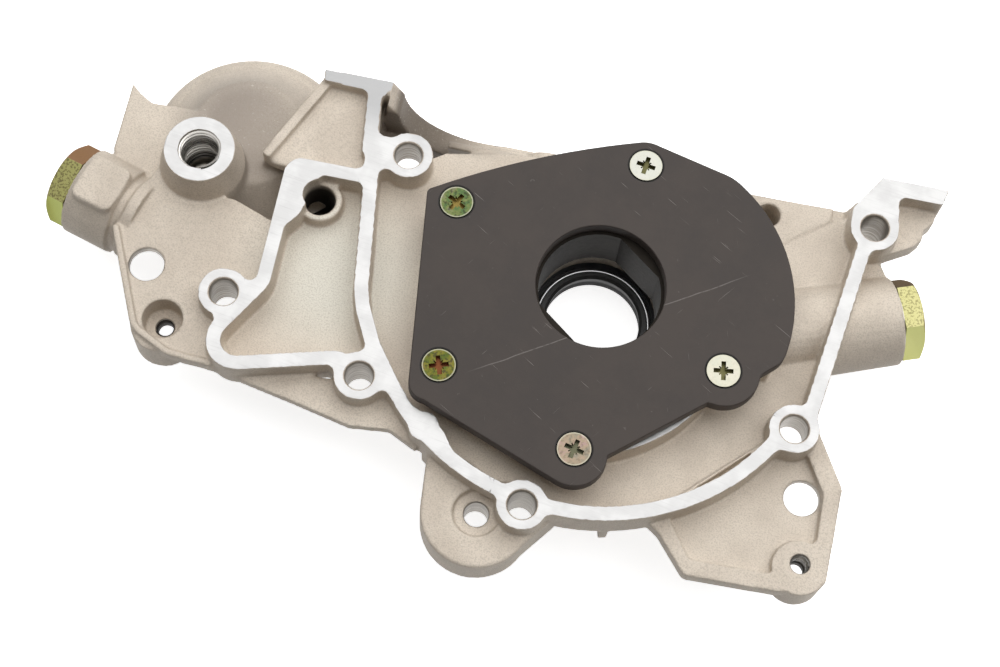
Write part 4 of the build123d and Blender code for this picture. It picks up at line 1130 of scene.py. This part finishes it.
# Relief piston and bypass valve
# Ground steel pieces that slide and lift inside the casting, bright with oil.
valve_steel, tree, shader, place = new_material("Valve steel")
marks = use_group(tree, tool_marks, {"Vector": place.outputs["Object"], "Spacing": 2400.0})
metal = mix_colors(tree, marks.outputs["Smudges"], (0.34, 0.34, 0.35), (0.55, 0.55, 0.56))
tree.links.new(metal, shader.inputs["Base Color"])
shader.inputs["Metallic"].default_value = 1.0
shader.inputs["Roughness"].default_value = 0.25
roughen(tree, shader, marks.outputs["Streaks"], 0.01 * mm)
paint(valve_steel, "relief_piston", "bypass_seat", "bypass_disc")


# Filter nipple
# A hollow zinc-plated steel nipple, screwed into the middle of the filter seat. The spin-on filter turns
# onto its thread.
nipple_low, nipple_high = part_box("filter_nipple")
nipple_radius = (nipple_high.x - nipple_low.x) / 2
nipple_bore = 6.0 * mm
nipple_pitch = 1.6 * mm
nipple_core = nipple_radius - 0.55 * nipple_pitch
nipple_middle = ((nipple_low.x + nipple_high.x) / 2, (nipple_low.y + nipple_high.y) / 2)

nipple_zinc, tree, shader, place = new_material("Zinc-plated nipple")
film = use_group(
    tree, zinc_film, {"Vector": place.outputs["Object"], "Shift": 0.5, "Patch": 140.0, "Spread": 0.4}
)
tree.links.new(film.outputs["Color"], shader.inputs["Base Color"])
shader.inputs["Metallic"].default_value = 0.85
tree.links.new(mix_values(tree, film.outputs["Speckle"], 0.26, 0.42), shader.inputs["Roughness"])
roughen(tree, shader, film.outputs["Speckle"], 0.02 * mm)

nipple_mesh = bpy.data.meshes.new("nipple_tube")
shape = bmesh.new()
tube_profile = (
    (nipple_bore, nipple_low.z + 0.6 * mm),
    (nipple_bore + 0.6 * mm, nipple_low.z),
    (nipple_core - 0.5 * mm, nipple_low.z),
    (nipple_core, nipple_low.z + 0.5 * mm),
    (nipple_core, nipple_high.z),
    (nipple_bore, nipple_high.z),
)
ring = [shape.verts.new((nipple_middle[0] + radius, nipple_middle[1], z)) for radius, z in tube_profile]
edges = [shape.edges.new((a, b)) for a, b in zip(ring, ring[1:] + ring[:1])]
bmesh.ops.spin(
    shape,
    geom=ring + edges,
    cent=(*nipple_middle, 0),
    axis=(0, 0, 1),
    angle=2 * pi,
    steps=64,
    use_merge=True,
)
bmesh.ops.remove_doubles(shape, verts=shape.verts, dist=1e-6)
bmesh.ops.recalc_face_normals(shape, faces=shape.faces)
shape.to_mesh(nipple_mesh)
shape.free()
nipple_mesh.materials.append(nipple_zinc)
nipple = bpy.data.objects.new("nipple_tube", nipple_mesh)
scene.collection.objects.link(nipple)
nipple_thread = grown(
    "nipple_thread",
    thread_tree,
    {
        "Radius": nipple_core - 0.05 * mm,
        "Pitch": nipple_pitch,
        "Turns": (nipple_high.z - nipple_low.z - 3.5 * mm) / nipple_pitch,
        "Ridge": 0.55 * nipple_pitch,
        "Foot": Vector((*nipple_middle, nipple_low.z + 1.8 * mm)),
        "Material": nipple_zinc,
    },
)
for piece in (nipple, nipple_thread):
    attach(piece, "housing")
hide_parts("filter_nipple")


# Floor, lights and camera
# A white table under the pump, large soft lamps round it, and the camera where the photograph was taken.
camera_place = Vector((-10.37, -246.84, 608.0)) * mm
camera_turn = Euler((radians(20.3045), radians(-2.3630), radians(11.1057)))
photo_lens = 72.0
photo_sensor = 36.0
table_white = (0.95, 0.95, 0.95)
table_bounce = (0.08, 0.078, 0.075)
table_glow = 0.82
studio_fill = 0.02

floor_mesh = bpy.data.meshes.new("floor")
reach = 3.0
floor_mesh.from_pydata(
    [(-reach, -reach, 0), (reach, -reach, 0), (reach, reach, 0), (-reach, reach, 0)], [], [(0, 1, 2, 3)]
)
floor = bpy.data.objects.new("floor", floor_mesh)
floor.location.z = cad_low.z - 0.2 * mm
scene.collection.objects.link(floor)
white, tree, shader, place = new_material("White table")
shader.inputs["Roughness"].default_value = 0.8
path = add_node(tree, "ShaderNodeLightPath")
seen = math_node(tree, "MAXIMUM", path.outputs["Is Camera Ray"], path.outputs["Is Glossy Ray"])
seen = math_node(tree, "MAXIMUM", seen, path.outputs["Is Transmission Ray"])
tree.links.new(mix_colors(tree, seen, table_bounce, table_white), shader.inputs["Base Color"])
glow = add_node(tree, "ShaderNodeEmission", {"Color": (1, 1, 1, 1), "Strength": table_glow})
shaded = add_node(tree, "ShaderNodeAddShader", {0: shader.outputs[0], 1: glow.outputs[0]})
lit = add_node(tree, "ShaderNodeMixShader", {0: seen, 1: shader.outputs[0], 2: shaded.outputs[0]})
tree.links.new(lit.outputs[0], tree.nodes["Material Output"].inputs["Surface"])
floor_mesh.materials.append(white)

world = bpy.data.worlds.new("Studio")
scene.world = world
world.use_nodes = True
tree = world.node_tree
path = add_node(tree, "ShaderNodeLightPath")
seen = math_node(tree, "MAXIMUM", path.outputs["Is Camera Ray"], path.outputs["Is Glossy Ray"])
strength = mix_values(tree, seen, studio_fill, 1.0)
tree.links.new(strength, tree.nodes["Background"].inputs["Strength"])
tree.nodes["Background"].inputs["Color"].default_value = (1, 1, 1, 1)

for name, spot, size, power in (
    ("Softbox over the pan side", (0.10, 0.50, 1.05), 2.0, 22.0),
    ("Lamp from the left", (-0.95, 0.25, 0.8), 0.5, 1.0),
    ("Lamp from the right", (0.9, 0.1, 0.8), 0.5, 1.6),
):
    lamp = bpy.data.lights.new(name, "AREA")
    lamp.size = size
    lamp.energy = power
    held = bpy.data.objects.new(name, lamp)
    held.location = spot
    held.rotation_euler = (-Vector(spot)).to_track_quat("-Z", "Y").to_euler()
    scene.collection.objects.link(held)

camera = bpy.data.cameras.new("Photo camera")
camera.lens = photo_lens
camera.sensor_width = photo_sensor
camera.clip_start = 0.01
eye = bpy.data.objects.new("Photo camera", camera)
eye.location = camera_place
eye.rotation_euler = camera_turn
scene.collection.objects.link(eye)
scene.camera = eye
